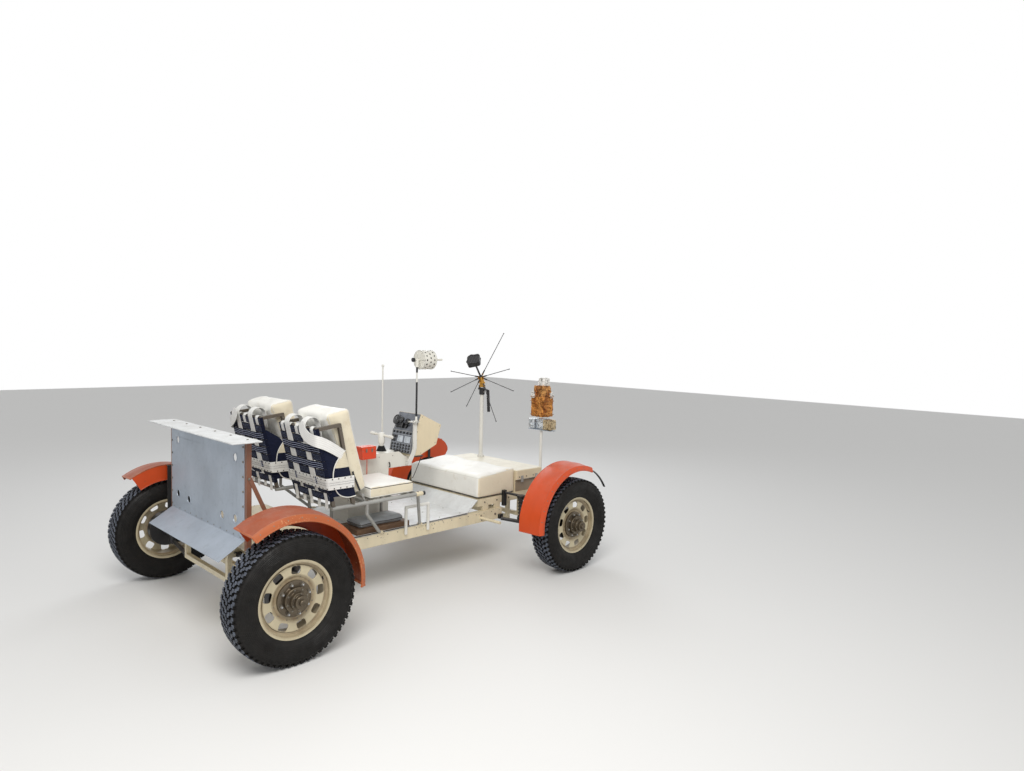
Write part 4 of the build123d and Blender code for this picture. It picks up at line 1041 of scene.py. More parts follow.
def shadowSheetShape(side, edge):
    # the dark sheet beside the backrest, painted shadow: edge is 1 on the seat's outer side, -1 on the inner one
    rows, columns, front = shadowSheet["rows"], shadowSheet["columns"], shadowSheet["front"]
    y = seatMiddle * side + edge * side * (weaving["halfWidth"] + 0.0012)
    grid = []
    for i in range(rows + 1):
        z = front[0][0] + (front[-1][0] - front[0][0]) * i / rows
        rearX, frontX = backPoint(z, -0.016).x, between(front, z)
        line = []
        for j in range(columns + 1):
            x = rearX + (frontX - rearX) * j / columns
            crease = shadowSheet["crease"] * noise.noise(Vector((x * 22, z * 14, side * 5 + edge)))
            line.append(Vector((x, y + crease * edge * side * math.sin(math.pi * j / columns), z)))
        grid.append(line)
    return gridShape(grid)


def sidePocket(side, edge):
    rows, pale, columns = pocket["rows"], pocket["paleRows"], pocket["columns"]
    rear = smoothLine([(x, 0, z) for x, z in pocket["rear"]], 6)
    rearLine = [(p.z, p.x) for p in rear[::-1]]
    (topX, topZ), (footX, footZ) = pocket["front"]
    out = edge * side
    base = seatMiddle * side + out * (weaving["halfWidth"] + 0.004)
    # level rows, one of them on the line where navy meets cream
    heights = [topZ - (topZ - pocket["split"]) * k / pale for k in range(pale + 1)]
    heights += [pocket["split"] - (pocket["split"] - footZ) * k / (rows - pale) for k in range(1, rows - pale + 1)]
    grid = []
    for i, z in enumerate(heights):
        rearX = between(rearLine, z)
        frontX = topX + (footX - topX) * (topZ - z) / (topZ - footZ)
        line = []
        for j in range(columns + 1):
            u, t = j / columns, i / rows
            x = rearX + (frontX - rearX) * u
            swell = pocket["bulge"] * math.sin(math.pi * u) ** 0.7 * math.sin(math.pi * t) ** 0.6
            swell *= 0.8 + 0.35 * noise.noise(Vector((x * 18, side * 3 + edge, z * 18)))
            line.append(Vector((x, base + out * (0.001 + swell), z)))
        grid.append(line)
    rim = [Vector((p.x, base + out * 0.003, p.z)) for p in rear]
    return gridShape(grid[pale:]), gridShape(grid[:pale + 1]), tubeShape(rim, pocket["piping"], 8)


def makePocket(name, side, edge):
    navy, pale, rim = sidePocket(side, edge)
    # a dark navy sheet beside the back: painted shadow
    shadowSheetGrid = shadowSheetShape(side, edge)
    cloth = makePiece(name, [(navy, "navyPocket"), (pale, "creamPocket")], "rover", ["seat_backs"], sharp=60)
    shadowSheetPiece = makePiece(name + "ShadowSheet", [(shadowSheetGrid, "navyPocket")], "rover", ["seat_backs"], sharp=60)
    piping = makePiece(name + "Piping", [(rim, "whitePiping")], "rover", sharp=60)


belt = {"low": 0.824, "high": 0.898, "thick": 0.004, "front": -0.570, "corner": 0.020, "round": 0.0175,
        "snapEvery": 0.044, "snapRow": 0.030, "firstSnap": 0.02, "lines": 4}


def beltPath(side):
    # round the back and both sides of the woven back
    middle, corner = belt["low"] + (belt["high"] - belt["low"]) / 2, belt["corner"]
    w = weaving["halfWidth"] + belt["round"]
    rear = backPoint(middle, 0.0135).x
    ends = [(belt["front"], w - 0.004), (-0.62, w + 0.001), (-0.66, w), (rear + corner, w)]
    bends = [spoke(corner, math.pi / 2 * k / 6) for k in range(1, 6)]
    line = [(x, -y) for x, y in ends] + [(rear + corner - bend.y, -w + corner - bend.x) for bend in bends]
    for k in range(25):
        line.append((rear + 0.0018 * math.cos(k * 1.3), -w + corner + (2 * w - 2 * corner) * k / 24))
    line += [(rear + corner - bend.x, w - corner + bend.y) for bend in bends] + ends[::-1]
    return [Vector((x, seatMiddle * side + y, middle)) for x, y in line]


def lapBelt(side):
    points = beltPath(side)
    height = belt["high"] - belt["low"]
    shapes = [(ribbon(points, height, belt["thick"], backTilt), "white_webbing")]
    # lines of stitching and two rows of snaps
    seat = Vector((-0.64, seatMiddle * side, points[0].z))
    normals = []
    for i, point in enumerate(points):
        normal = backTilt.cross(heading(points, i)).normalized()
        normals.append(-normal if normal.dot(point - seat) < 0 else normal)
    for k in range(belt["lines"]):
        offset = (k / (belt["lines"] - 1) - 0.5) * height * 0.55
        thread = [p + backTilt * offset + n * (belt["thick"] / 2 + 0.0001) for p, n in zip(points, normals)]
        shapes.append((tubeShape(thread, 0.0008, 5), "darkPiping" if k % 3 else "whitePiping"))
    travelled, nextSnap = 0.0, belt["firstSnap"]
    for i in range(1, len(points)):
        run = (points[i] - points[i - 1]).length
        while travelled + run > nextSnap:
            t = (nextSnap - travelled) / run
            n = normals[i - 1].lerp(normals[i], t).normalized()
            for row in (-1, 1):
                at = points[i - 1].lerp(points[i], t) + backTilt * row * belt["snapRow"] + n * belt["thick"] / 2
                shapes.append((rivet(at, n, 0.0048), "snaps"))
            nextSnap += belt["snapEvery"]
        travelled += run
    return shapes


threadRows = {True: (-0.0135, 0.0, 0.0135), False: (-0.013, -0.0045, 0.0045, 0.013)}  # bold ones on the front bands


def makeSeatBack(name, side):
    for label, maker, finishName, node in (("LevelWebbing", levelBands, "navy_webbing", "seat_backs"),
                                           ("UprightWebbing", uprightBands, "white_webbing", "back_bands"),
                                           ("ShoulderStraps", shoulderStraps, "white_webbing", "back_bands")):
        makePiece(name + label, [(shape, finishName) for shape in maker(side)], "rover", [node])
    makePocket(name + "OuterPocket", side, 1)
    makePocket(name + "InnerPocket", side, -1)
    makePiece(name + "LapBelt", lapBelt(side), "rover", ["back_bands"])
    # fine light lines woven into the level bands
    threads = []
    for level in range(weaving["levels"]):
        bold = level in weaving["frontLevels"]
        for rise in threadRows[bold]:
            line = levelPath(level, side, rise, weaving["thick"] / 2)
            threads.append((tubeShape(line, 0.0017 if bold else 0.0007, 5), "paleThread" if bold else "navyThread"))
    makePiece(name + "BandThreads", threads, "rover")


makeSeatBack("rightBack", -1)
makeSeatBack("leftBack", 1)
print("woven backs made")


# Tyres with their tread, and what is bolted on the wheels

corners = [  # wheel, fender, end, side, and the body that carries the fender
    ("front_right", "frontRight", 1, -1, "right_knuckle"),
    ("front_left", "frontLeft", 1, 1, "left_knuckle"),
    ("rear_right", "rearRight", -1, -1, "rover"),
    ("rear_left", "rearLeft", -1, 1, "rover"),
]
tyre = {
    "blocks": 58, "segments": 96, "ribEvery": 0.0086, "ribDepth": 0.0017, "ribFrom": 0.242, "step": 0.00145,
    # rows of blocks: from, to, and shift in blocks
    "rows": [(-0.0805, -0.051, 0.0), (-0.047, -0.0185, 0.5), (-0.0145, 0.0145, 0.0), (0.0185, 0.047, 0.5), (0.051, 0.0805, 0.0)],
    "wall": [(0.2150, 0.0660), (0.2240, 0.0705), (0.2380, 0.0810), (0.2600, 0.0910), (0.2850, 0.0945), (0.3080, 0.0920),
             (0.3240, 0.0875), (0.3330, 0.0830), (0.3385, 0.0760), (0.3430, 0.0570), (0.3452, 0.0300), (0.3458, 0.0)],
    "inside": [(0.3350, 0.0), (0.3300, 0.0500), (0.3100, 0.0780), (0.2700, 0.0830), (0.2300, 0.0640), (0.2120, 0.0540)],
    "block": [(0.0, 0.0), (0.46, 0.0), (0.50, 0.36), (0.84, 0.36), (0.84, 1.0), (0.38, 1.0), (0.34, 0.64), (0.0, 0.64)],
}


def tyreProfile():
    # fine ribs run round the wall below its widest place
    wall, inner = tyre["wall"], tyre["inside"]
    low, high = wall[0][0], wall[6][0]
    steps = int((high - low) / tyre["step"])
    outer = []
    for k in range(steps):
        r = low + (high - low) * k / steps
        w = between(wall, r)
        if r > tyre["ribFrom"]:
            w += tyre["ribDepth"] * (max(0.0, math.cos(2 * math.pi * r / tyre["ribEvery"])) - 0.5)
        outer.append((r, w))
    outer += wall[6:]
    return outer + [(r, -w) for r, w in outer[:-1]][::-1] + [(r, -w) for r, w in inner[1:]][::-1] + inner


def treadTop(w):
    return 0.3578 - 0.0058 * (abs(w) / 0.08) ** 2.2


def treadBlocks():
    # the blocks' sides, and their worn tops, which take a lighter, bluish finish: dust, and painted bluish light on the
    # tops
    points, faces, tops = [], [], []
    outline = tyre["block"]
    centreA, centreB = sum(a for a, b in outline) / 8, 0.5
    floorLine = [(w, r) for r, w in tyre["wall"]][::-1]
    for (low, high, shift), k in product(tyre["rows"], range(tyre["blocks"])):
        start = len(points)
        for level, pull in ((0, 0.0), (1, 0.0), (2, 0.07)):
            for a, b in outline:
                a, b = a + (centreA - a) * pull, b + (centreB - b) * pull
                w = low + (high - low) * (b if low < 0 else 1 - b)
                angle = (k + shift + a * 0.97) * 2 * math.pi / tyre["blocks"]
                r = (between(floorLine, abs(w)) - 0.002, treadTop(w) - 0.0012, treadTop(w))[level]
                points.append(spoke(r, angle, w))
        for base, target in ((start, faces), (start + 8, tops)):
            target += [(base + i, base + (i + 1) % 8, base + 8 + (i + 1) % 8, base + 8 + i) for i in range(8)]
        tops.append(tuple(range(start + 16, start + 24)))
    return (points, faces), (points, tops)


def shoulderRibs():
    points, faces = [], []
    count = tyre["blocks"] * 2
    for side, k in product((-1, 1), range(count)):
        start = len(points)
        for r in (0.3185 if k % 2 else 0.3245, 0.3365):
            for angle, out in ((-0.30, -0.001), (-0.24, 0.0022), (0.24, 0.0022), (0.30, -0.001)):
                turn = (k + 0.5 + angle) * 2 * math.pi / count
                points.append(spoke(r, turn, side * (between(tyre["wall"], r) + out)))
        for ring in ((0, 1, 5, 4), (1, 2, 6, 5), (2, 3, 7, 6), (0, 1, 2, 3), (4, 5, 6, 7), (0, 3, 7, 4)):
            faces.append(tuple(start + i for i in ring))
    return points, faces


hub = {
    "shell": [(0.0990, 0.0300), (0.0990, 0.0420), (0.0965, 0.0434), (0.0700, 0.0436), (0.0688, 0.0446), (0.0688, 0.0704),
              (0.0672, 0.0726), (0.0500, 0.0728), (0.0487, 0.0738), (0.0487, 0.0996), (0.0474, 0.1016), (0.0378, 0.1018),
              (0.0367, 0.1028), (0.0367, 0.1240), (0.0352, 0.1258), (0.0180, 0.1260), (0.0176, 0.1268), (0.0176, 0.1370),
              (0.0160, 0.1388), (0.0060, 0.1392)],
    # rings of bolts: count, ring radius, height, size and tallness
    "rings": [(8, 0.0835, 0.0436, 0.0098, 0.013), (8, 0.0590, 0.0728, 0.0046, 0.004), (6, 0.0425, 0.1018, 0.0036, 0.003),
              (12, 0.1185, 0.0300, 0.0042, 0.003)],
    "firstBolt": 0.35, "studFoot": 0.054, "studLong": 0.009, "stud": 0.0046,
    "valve": (0.186, 0.45, 0.040),
}


def makeWheel(name, end, side):
    place = facing((end * wheel["x"], side * wheel["y"], wheel["z"]), (0, side, 0))
    out, body = place.to_3x3() @ Vector((0, 0, 1)), name + "_wheel"
    blocks, blockTops = treadBlocks()
    parts = [(latheShape(tyreProfile(), tyre["segments"], True), "tyre"), (blocks, "tyre"), (blockTops, "treadTopDustAndLight"),
             (shoulderRibs(), "tyre")]
    makePiece(name + "Tyre", [(placed(shape, place), finish) for shape, finish in parts], body,
              ["tyre_" + name], sharp=28)
    groups = [(placed(latheShape(hub["shell"], 48), place), "hubSteel")]
    for count, radius, height, size, tall in hub["rings"]:
        angles = [2 * math.pi * (k + hub["firstBolt"]) / count for k in range(count)]
        bolts = [hexBolt(place @ spoke(radius, angle, height), out, size, tall) for angle in angles]
        groups.append((joined(bolts), "bolts"))
    count, radius = hub["rings"][0][:2]
    studs = []
    for k in range(count):
        foot = spoke(radius, 2 * math.pi * (k + hub["firstBolt"]) / count, hub["studFoot"])
        studs.append(tubeShape([place @ foot, place @ (foot + Vector((0, 0, hub["studLong"])))], hub["stud"], 10))
    groups.append((joined(studs), "brightBolts"))
    makePiece(name + "Hub", groups, body)
    # valve stem between two windows
    stem = [place @ (spoke(*hub["valve"]) + Vector(move)) for move in ((0, 0, 0), (-0.006, -0.003, 0.014), (-0.008, -0.004, 0.024))]
    makePiece(name + "Valve", [(tubeShape(stem, [0.0045, 0.0038, 0.0032], 10), "blackFoam")], body)


for cornerName, fenderName, cornerEnd, cornerSide, carrier in corners:
    makeWheel(cornerName, cornerEnd, cornerSide)
print("tyres and hubs made")


# Fender skirts, lips, beads and bolts

fender = {
    "shift": -0.012, "height": 0.390, "innerY": 0.822, "outerY": 1.012, "lipY": 1.030, "innerR": 0.442, "outerR": 0.430,
    "lipR": 0.398, "bead": 0.0048, "thick": 0.0011,
    # by end: the sheet's first and last angle, and how deep its skirt goes
    "span": {1: (68, 184), -1: (-6, 124)}, "skirtR": {1: 0.258, -1: 0.334}, "seamAt": {1: 0.32, -1: 0.30},
    "skirtIn": -0.0016, "skirtOut": 0.0002, "skirtRim": 0.0036,
    # the front left tip: its first angle, and its outer and inner radius by angle
    "tipStart": 50.6, "tipSheet": 51.6,
    "tipOuter": [(50.6, 0.366), (51.2, 0.384), (52.5, 0.400), (55, 0.413), (59, 0.426), (64, 0.437), (69, 0.442)],
    "tipInner": [(50.6, 0.352), (51.2, 0.330), (52.5, 0.305), (55, 0.280), (59, 0.262), (64, 0.258), (69, 0.258)],
}


def fenderPoint(end, side, angle, y, r):
    turn = spoke(r, math.radians(angle))
    return Vector((end * wheel["x"] + fender["shift"] + turn.x, side * y, fender["height"] + turn.y))


def fenderLine(end, side, angle, section, size, drop=0.0):
    # a bead across the sheet at one angle
    return tubeShape([fenderPoint(end, side, angle, y, r - drop) for y, r in section], size, 8)


def arcStrip(end, side, sections, angles):
    # sections of (y, r) points at the angles, joined round the fender's axis
    points = [fenderPoint(end, side, angle, y, r) for section, angle in zip(sections, angles) for y, r in section]
    return points, bridged(len(angles), len(sections[0]))


def steppedTo(first, last, steps):
    return [first + (last - first) * i / steps for i in range(steps + 1)]


def makeFender(name, end, side, body):
    f = fender
    slot, lipFinish = ("orange_fender", "orange_fender") if end > 0 else ("rust_fender", "paleLip")
    start, stop = f["span"][end]
    angles = steppedTo(start, stop, int((stop - start) / 2))
    t, lipY, lipR, outerY, outerR, innerY, innerR = (f[key] for key in ("thick", "lipY", "lipR", "outerY", "outerR", "innerY", "innerR"))
    lip = [(outerY - 0.010, outerR + 0.0008 + t), (outerY + 0.001, outerR + 0.0006 + t), (lipY + t + 0.0004, lipR + 0.002),
           (lipY + t + 0.0004, lipR - 0.0005), (lipY + 0.0002, lipR - 0.0005), (lipY + 0.0002, lipR + 0.002),
           (outerY + 0.0002, outerR + 0.0004), (outerY - 0.010, outerR + 0.0006)]
    groups = [(arcStrip(end, side, [lip] * len(angles), angles), lipFinish)]
    for y, r, size, finish in ((lipY - 0.001, lipR, f["bead"], lipFinish), (innerY, innerR - 0.002, f["bead"] * 0.8, slot)):
        groups.append((tubeShape([fenderPoint(end, side, angle, y, r) for angle in angles], size, 8), finish))
    for angle in (start, stop):
        section = [(innerY, innerR - 0.001), (outerY - 0.02, outerR), (outerY, outerR - 0.002), (lipY - 0.002, lipR)]
        groups.append((fenderLine(end, side, angle, section, f["bead"] * 1.4), lipFinish))
    # a lapped seam across the top, with its row of rivets
    seam = start + (stop - start) * f["seamAt"][end]
    lap = [(innerY + 0.004, innerR + 0.0015), (outerY - 0.006, outerR + 0.0022), (outerY - 0.006, outerR + 0.0002),
           (innerY + 0.004, innerR - 0.0005)]
    groups.append((arcStrip(end, side, [lap] * 4, steppedTo(seam, seam + 2.6, 3)), slot))
    rivets = []
    for k in range(7):
        y = innerY + 0.02 + (outerY - innerY - 0.04) * k / 6
        at = fenderPoint(end, side, seam + 1.3, y, innerR + (outerR - innerR) * k / 6 + 0.0016)
        rivets.append(rivet(at, at - fenderPoint(end, side, seam + 1.3, y, 0), 0.0042))
    for angle in range(start + 4, stop - 3, 11):
        at = fenderPoint(end, side, angle, outerY + 0.0095, (outerR + lipR) / 2 + 0.002)
        out = fenderPoint(end, side, angle, outerY + 0.06, outerR + 0.02) - fenderPoint(end, side, angle, outerY, outerR)
        rivets.append(rivet(at, out, 0.0038))
    groups.append((joined(rivets), "bolts"))
    makePiece(name + "FenderTrim", groups, body)


def tipShapes(end, side, start):
    # the skirt's and the sheet's rounded front tip, and the skirt's rim on it
    f = fender
    lipY, lipR, outerY, outerR, innerY, innerR = (f[key] for key in ("lipY", "lipR", "outerY", "outerR", "innerY", "innerR"))
    rings = [f["tipStart"] + (start - f["tipStart"]) * (k / 24) ** 1.6 for k in range(25)]
    sections = []
    for angle in rings:
        outer, inner = between(f["tipOuter"], angle), between(f["tipInner"], angle)
        sections.append([(innerY + f["skirtIn"], outer), (innerY + f["skirtOut"], outer),
                         (innerY + f["skirtOut"], inner), (innerY + f["skirtIn"], inner)])
    drops = {angle: innerR - between(f["tipOuter"], min(angle, 69)) for angle in steppedTo(f["tipSheet"], f["span"][1][0] + 3, 16)}
    sheet = [(innerY, innerR + 0.001), (outerY - 0.004, outerR + 0.001), (outerY + 0.003, outerR - 0.003), (lipY + 0.001, lipR + 0.001),
             (lipY - 0.002, lipR + 0.001), (outerY - 0.001, outerR - 0.005), (outerY - 0.006, outerR - 0.002), (innerY, innerR - 0.002)]
    edge = [(innerY, innerR), (outerY - 0.02, outerR), (outerY, outerR - 0.002), (lipY - 0.001, lipR)]
    shapes = [arcStrip(end, side, sections, rings),
              arcStrip(end, side, [[(y, r - drop) for y, r in sheet] for drop in drops.values()], list(drops)),
              fenderLine(end, side, f["tipSheet"], edge, f["bead"], drops[f["tipSheet"]])]
    rim = [fenderPoint(end, side, angle, innerY - 0.0007, between(f["tipInner"], angle)) for angle in rings[:-1]]
    return shapes, rim


def makeSkirt(name, end, side, body, start, tip):
    # the inner skirt below the sheet's inner edge
    f = fender
    stop, low = f["span"][end][1] - 1, f["skirtR"][end]
    section = [(f["innerY"] + f["skirtIn"], f["innerR"]), (f["innerY"] + f["skirtOut"], f["innerR"]),
               (f["innerY"] + f["skirtOut"], low), (f["innerY"] + f["skirtIn"], low)]
    shapes = [arcStrip(end, side, [section] * 65, steppedTo(start, stop, 64))]
    rim = [fenderPoint(end, side, angle, f["innerY"] - 0.0007, low) for angle in steppedTo(start, stop, 60)]
    if tip:
        more, tipRim = tipShapes(end, side, start)
        shapes, rim = shapes + more, tipRim + rim
    shapes.append(tubeShape(rim, f["skirtRim"], 8))
    makePiece(name + "FenderSkirt", [(shape, "orange_fender") for shape in shapes], body)


skirtStarts = {"frontRight": 72, "frontLeft": 68, "rearRight": -5, "rearLeft": -5}
for cornerName, fenderName, cornerEnd, cornerSide, carrier in corners:
    makeSkirt(fenderName, cornerEnd, cornerSide, carrier, skirtStarts[fenderName], fenderName == "frontLeft")
for cornerName, fenderName, cornerEnd, cornerSide, carrier in corners:
    makeFender(fenderName, cornerEnd, cornerSide, carrier)


# Coil springs round the dampers

coil = {"x": 0.195, "y": 0.590, "low": 0.3785, "high": 0.5190, "radius": 0.0222, "wire": 0.0042, "turns": 6.5, "rest": 0.08}


def makeSprings():
    shapes = []
    count = int(coil["turns"] * 20)
    for end, side in product((1, -1), repeat=2):
        line = []
        for k in range(count + 1):
            # the wire lies level at both ends
            ease = min(1.0, max(0.0, (k / count - coil["rest"]) / (1 - 2 * coil["rest"])))
            turn = spoke(coil["radius"], 2 * math.pi * coil["turns"] * k / count)
            line.append((end * (wheel["x"] - coil["x"]) + turn.x, side * (coil["y"] + turn.y),
                         coil["low"] + (coil["high"] - coil["low"]) * ease))
        shapes.append((tubeShape(line, coil["wire"], 8), "spring"))
    makePiece("coilSprings", shapes, "rover", sharp=60)


makeSprings()
print("fenders and springs made")


# Console: switches, windows and dials

console = {
    "lowFoot": (0.222, 0.889), "lowTop": (0.255, 1.057), "highFoot": (0.268, 1.058), "highTop": (0.321, 1.183), "proud": 0.006,
    "switchRows": [0.014, 0.036, 0.058], "switches": 7, "windows": [(0.046, -0.016), (-0.042, -0.108)], "windowSpan": (0.078, 0.128),
}


def facePlace(foot, top, u, v, out=0.0):
    # a place on a console face: u across towards the left, v up the face
    along = Vector((top[0] - foot[0], 0, top[1] - foot[1])).normalized()
    normal = Vector((-along.z, 0, along.x))
    at = Vector((foot[0], u, foot[1])) + along * v + normal * out
    across = along.cross(normal)
    return Matrix.Translation(at) @ Matrix((across, along, normal)).transposed().to_4x4()


def frameShape(width, height, rim, deep, lift=0.0):
    # a raised rectangular rim
    halves = [(width / 2, height / 2), (width / 2 - rim, height / 2 - rim)]
    shapes = []
    (ox, oy), (ix, iy) = halves
    for low, high in (((-ox, -oy), (ox, -iy)), ((-ox, iy), (ox, oy)), ((-ox, -iy), (-ix, iy)), ((ix, -iy), (ox, iy))):
        shapes.append(boxShape((low[0], low[1], lift), (high[0], high[1], lift + deep), 0.0006))
    return joined(shapes)


def toggle(place, lean):
    base = placed(latheShape([(0.0098, 0), (0.0098, 0.0030), (0.0084, 0.0046), (0.0034, 0.0056)], 14), place)
    lever = tubeShape([place @ Vector((0, 0, 0.004)), place @ Vector((0, lean, 0.015))], [0.0019, 0.0030], 8)
    return base, lever


def makeConsole():
    c = console
    groups = []
    dark, bright = [], []

    def low(u, v, out=0.0):
        return facePlace(c["lowFoot"], c["lowTop"], u, v, out)

    def high(u, v, out=0.0):
        return facePlace(c["highFoot"], c["highTop"], u, v, out + c["proud"])

    groups.append((placed(frameShape(0.256, 0.164, 0.004, 0.0022), low(0, 0.0855)), "greyTube"))
    for v in c["switchRows"]:
        for k in range(c["switches"]):
            u = -0.108 + 0.216 * k / (c["switches"] - 1)
            base, lever = toggle(low(u, v, 0.0002), 0.005 * (1 if (k * 7 + int(v * 1000)) % 3 else -1))
            dark.append(base)
            bright.append(lever)
    for v in (0.025, 0.047, 0.069, 0.138):
        groups.append((placed(boxShape((-0.122, -0.0008, 0), (0.122, 0.0008, 0.0012), 0.0004), low(0, v)), "paleWindow"))
    for left, right in c["windows"]:
        foot, top = c["windowSpan"]
        middle, size = low((left + right) / 2, (foot + top) / 2), (left - right, top - foot)
        groups.append((placed(frameShape(size[0], size[1], 0.005, 0.006), middle), "paleWindow"))
        groups.append((placed(boxShape((-size[0] / 2 + 0.005, -size[1] / 2 + 0.005, 0), (size[0] / 2 - 0.005, size[1] / 2 - 0.005, 0.0024), 0.0006), middle), "paleWindow"))
        for k in range(7):
            v = -size[1] / 2 + 0.010 + (size[1] - 0.020) * k / 6
            tick = boxShape((-size[0] / 2 + 0.007, v - 0.0004, 0.0024), (-size[0] / 2 + (0.018 if k % 3 else 0.026), v + 0.0004, 0.0030), 0.0002)
            dark.append(placed(tick, middle))
    for k, (u, v) in enumerate(((0.108, 0.088), (0.084, 0.088), (0.108, 0.116), (0.084, 0.116), (0.060, 0.116))):
        dark.append(placed(boxShape((-0.009, -0.010, 0), (0.009, 0.010, 0.007 + 0.002 * (k % 2)), 0.0015), low(u, v)))
    for k in range(6):
        place = low(-0.105 + 0.042 * k, 0.152)
        knob = latheShape([(0.0085, 0), (0.0085, 0.003), (0.0068, 0.004), (0.0062, 0.012), (0.0050, 0.0132)], 18)
        dark.append(placed(knob, place))
        bright.append(placed(boxShape((-0.0006, 0, 0.0130), (0.0006, 0.0052, 0.0138), 0.0002), place))
    # upper face: one large dial, two housings and a block
    for u, v, radius, deep in ((0.072, 0.062, 0.037, 0.046), (0.002, 0.066, 0.020, 0.052), (-0.050, 0.060, 0.022, 0.034)):
        place = high(u, v, deep)
        rim = latheShape([(radius + 0.0016, -0.012), (radius + 0.0024, -0.003), (radius + 0.0018, 0.0016), (radius - 0.003, 0.0024), (radius - 0.006, 0.0)], 36)
        dark.append(placed(rim, place))
        groups.append((placed(latheShape([(radius - 0.0055, 0.0002), (radius - 0.008, 0.0012), (0.002, 0.0020)], 36), place), "gaugeGlass"))
        for k in range(9):
            angle = math.radians(-30 + 240 * k / 8)
            mark = boxShape((radius * 0.58, -0.0005, 0.0010), (radius * 0.74, 0.0005, 0.0021), 0.0002)
            bright.append(placed(mark, place @ Matrix.Rotation(angle, 4, "Z")))
        needle = boxShape((-0.004, -0.0006, 0.0021), (radius * 0.6, 0.0006, 0.0028), 0.0002)
        bright.append(placed(needle, place @ Matrix.Rotation(math.radians(70 + u * 500), 4, "Z")))
    for low3, high3 in (((-0.026, 0.010, 0), (-0.002, 0.050, 0.030)), ((-0.110, 0.040, 0), (-0.084, 0.105, 0.024)), ((0.018, 0.012, 0), (0.036, 0.040, 0.020)),
                        ((-0.080, 0.012, 0), (-0.048, 0.030, 0.016)), ((-0.098, 0.008, 0), (-0.088, 0.030, 0.012))):
        dark.append(placed(boxShape(low3, high3, 0.003), high(0, 0)))
    for u, v in ((0.118, 0.012), (0.118, 0.120), (-0.118, 0.012), (-0.118, 0.120), (0, 0.124)):
        at = high(u, v) @ Vector((0, 0, 0.0005))
        bright.append(rivet(at, high(u, v).to_3x3() @ Vector((0, 0, 1)), 0.0034))
    groups += [(joined(dark), "black_fitting"), (joined(bright), "brightBolts")]
    makePiece("consoleControls", groups, "rover")


makeConsole()


# Control handle, the items round it, and the brace under the console

handle = {"x": 0.055, "foot": 0.915, "hubLow": 0.972, "hubTop": 1.050, "hubRadius": 0.0255,
          "bar": [(0.038, 0.100, 1.042), (0.076, -0.100, 1.027)], "knob": 0.0135}


def makeHandle():
    h = handle
    hubProfile = [(0.0185, h["hubLow"] - 0.010), (h["hubRadius"] - 0.003, h["hubLow"]), (h["hubRadius"], h["hubLow"] + 0.006),
                  (h["hubRadius"], h["hubTop"] - 0.008), (h["hubRadius"] - 0.004, h["hubTop"] - 0.001), (h["hubRadius"] * 0.6, h["hubTop"] + 0.003)]
    groups = [(placed(latheShape(hubProfile, 32), Matrix.Translation((h["x"], 0, 0))), "white_tube")]
    boot = []
    for k in range(13):
        swell = 0.0045 if k % 2 else 0.0
        boot.append((0.040 - 0.0014 * k - swell, h["foot"] + 0.0005 + 0.0032 * k))
    groups.append((placed(latheShape(boot, 32), Matrix.Translation((h["x"], 0, 0))), "blackFoam"))
    first, last = (Vector(p) for p in h["bar"])
    along = (last - first).normalized()
    for at, way in ((first, -along), (last, along)):
        knob = [(0.0092, -0.034), (0.0125, -0.028), (0.0128, -0.006), (h["knob"], 0.002), (0.0115, 0.009), (0.006, 0.0125)]
        groups.append((placed(latheShape(knob, 20), facing(at, way)), "white_tube"))
    # dark blocks and wedges on the box top
    for corners3 in (((0.118, -0.070), (0.178, -0.012), 0.030), ((0.150, 0.020), (0.196, 0.078), 0.022), ((0.108, -0.098), (0.142, -0.078), 0.016)):
        (x0, y0), (x1, y1), tall = corners3
        outline = [(0, 0), (x1 - x0, 0), (x1 - x0, tall), ((x1 - x0) * 0.35, tall), (0, tall * 0.3)]
        wedge = prismShape(outline, y1 - y0)
        drop = 0.0 if x1 < 0.14 else (x1 - 0.140) * 0.79
        place = Matrix.Translation((x0, y1, h["foot"] - drop - 0.001)) @ Matrix.Rotation(math.radians(90), 4, "X")
        groups.append((placed(wedge, place), "black_fitting"))
    makePiece("handleFittings", groups, "rover", sharp=40)
    brace = [(boxShape((0.262, -0.150, 0.8645), (0.338, -0.112, 0.8715), 0.001), "black_steel"),
             (tubeShape([(0.330, -0.136, 0.866), (0.328, -0.130, 0.848), (0.318, -0.085, 0.745), (0.308, -0.0615, 0.690)], 0.0028, 8), "black_steel"),
             (hexBolt((0.300, -0.131, 0.8645), (0, 0, -1), 0.005, 0.004), "bolts"), (hexBolt((0.306, -0.061, 0.690), (0, -1, 0), 0.005, 0.004), "bolts"),
             (tubeShape([(0.048, -0.110, 0.842), (0.048, -0.119, 0.840), (0.049, -0.121, 0.812), (0.049, -0.110, 0.808)], 0.0042, 8), "black_fitting")]
    makePiece("consoleBrace", brace, "rover")


makeHandle()
print("console and handle made")


# Camera: crumpled foil over its housing and the two boxes below it

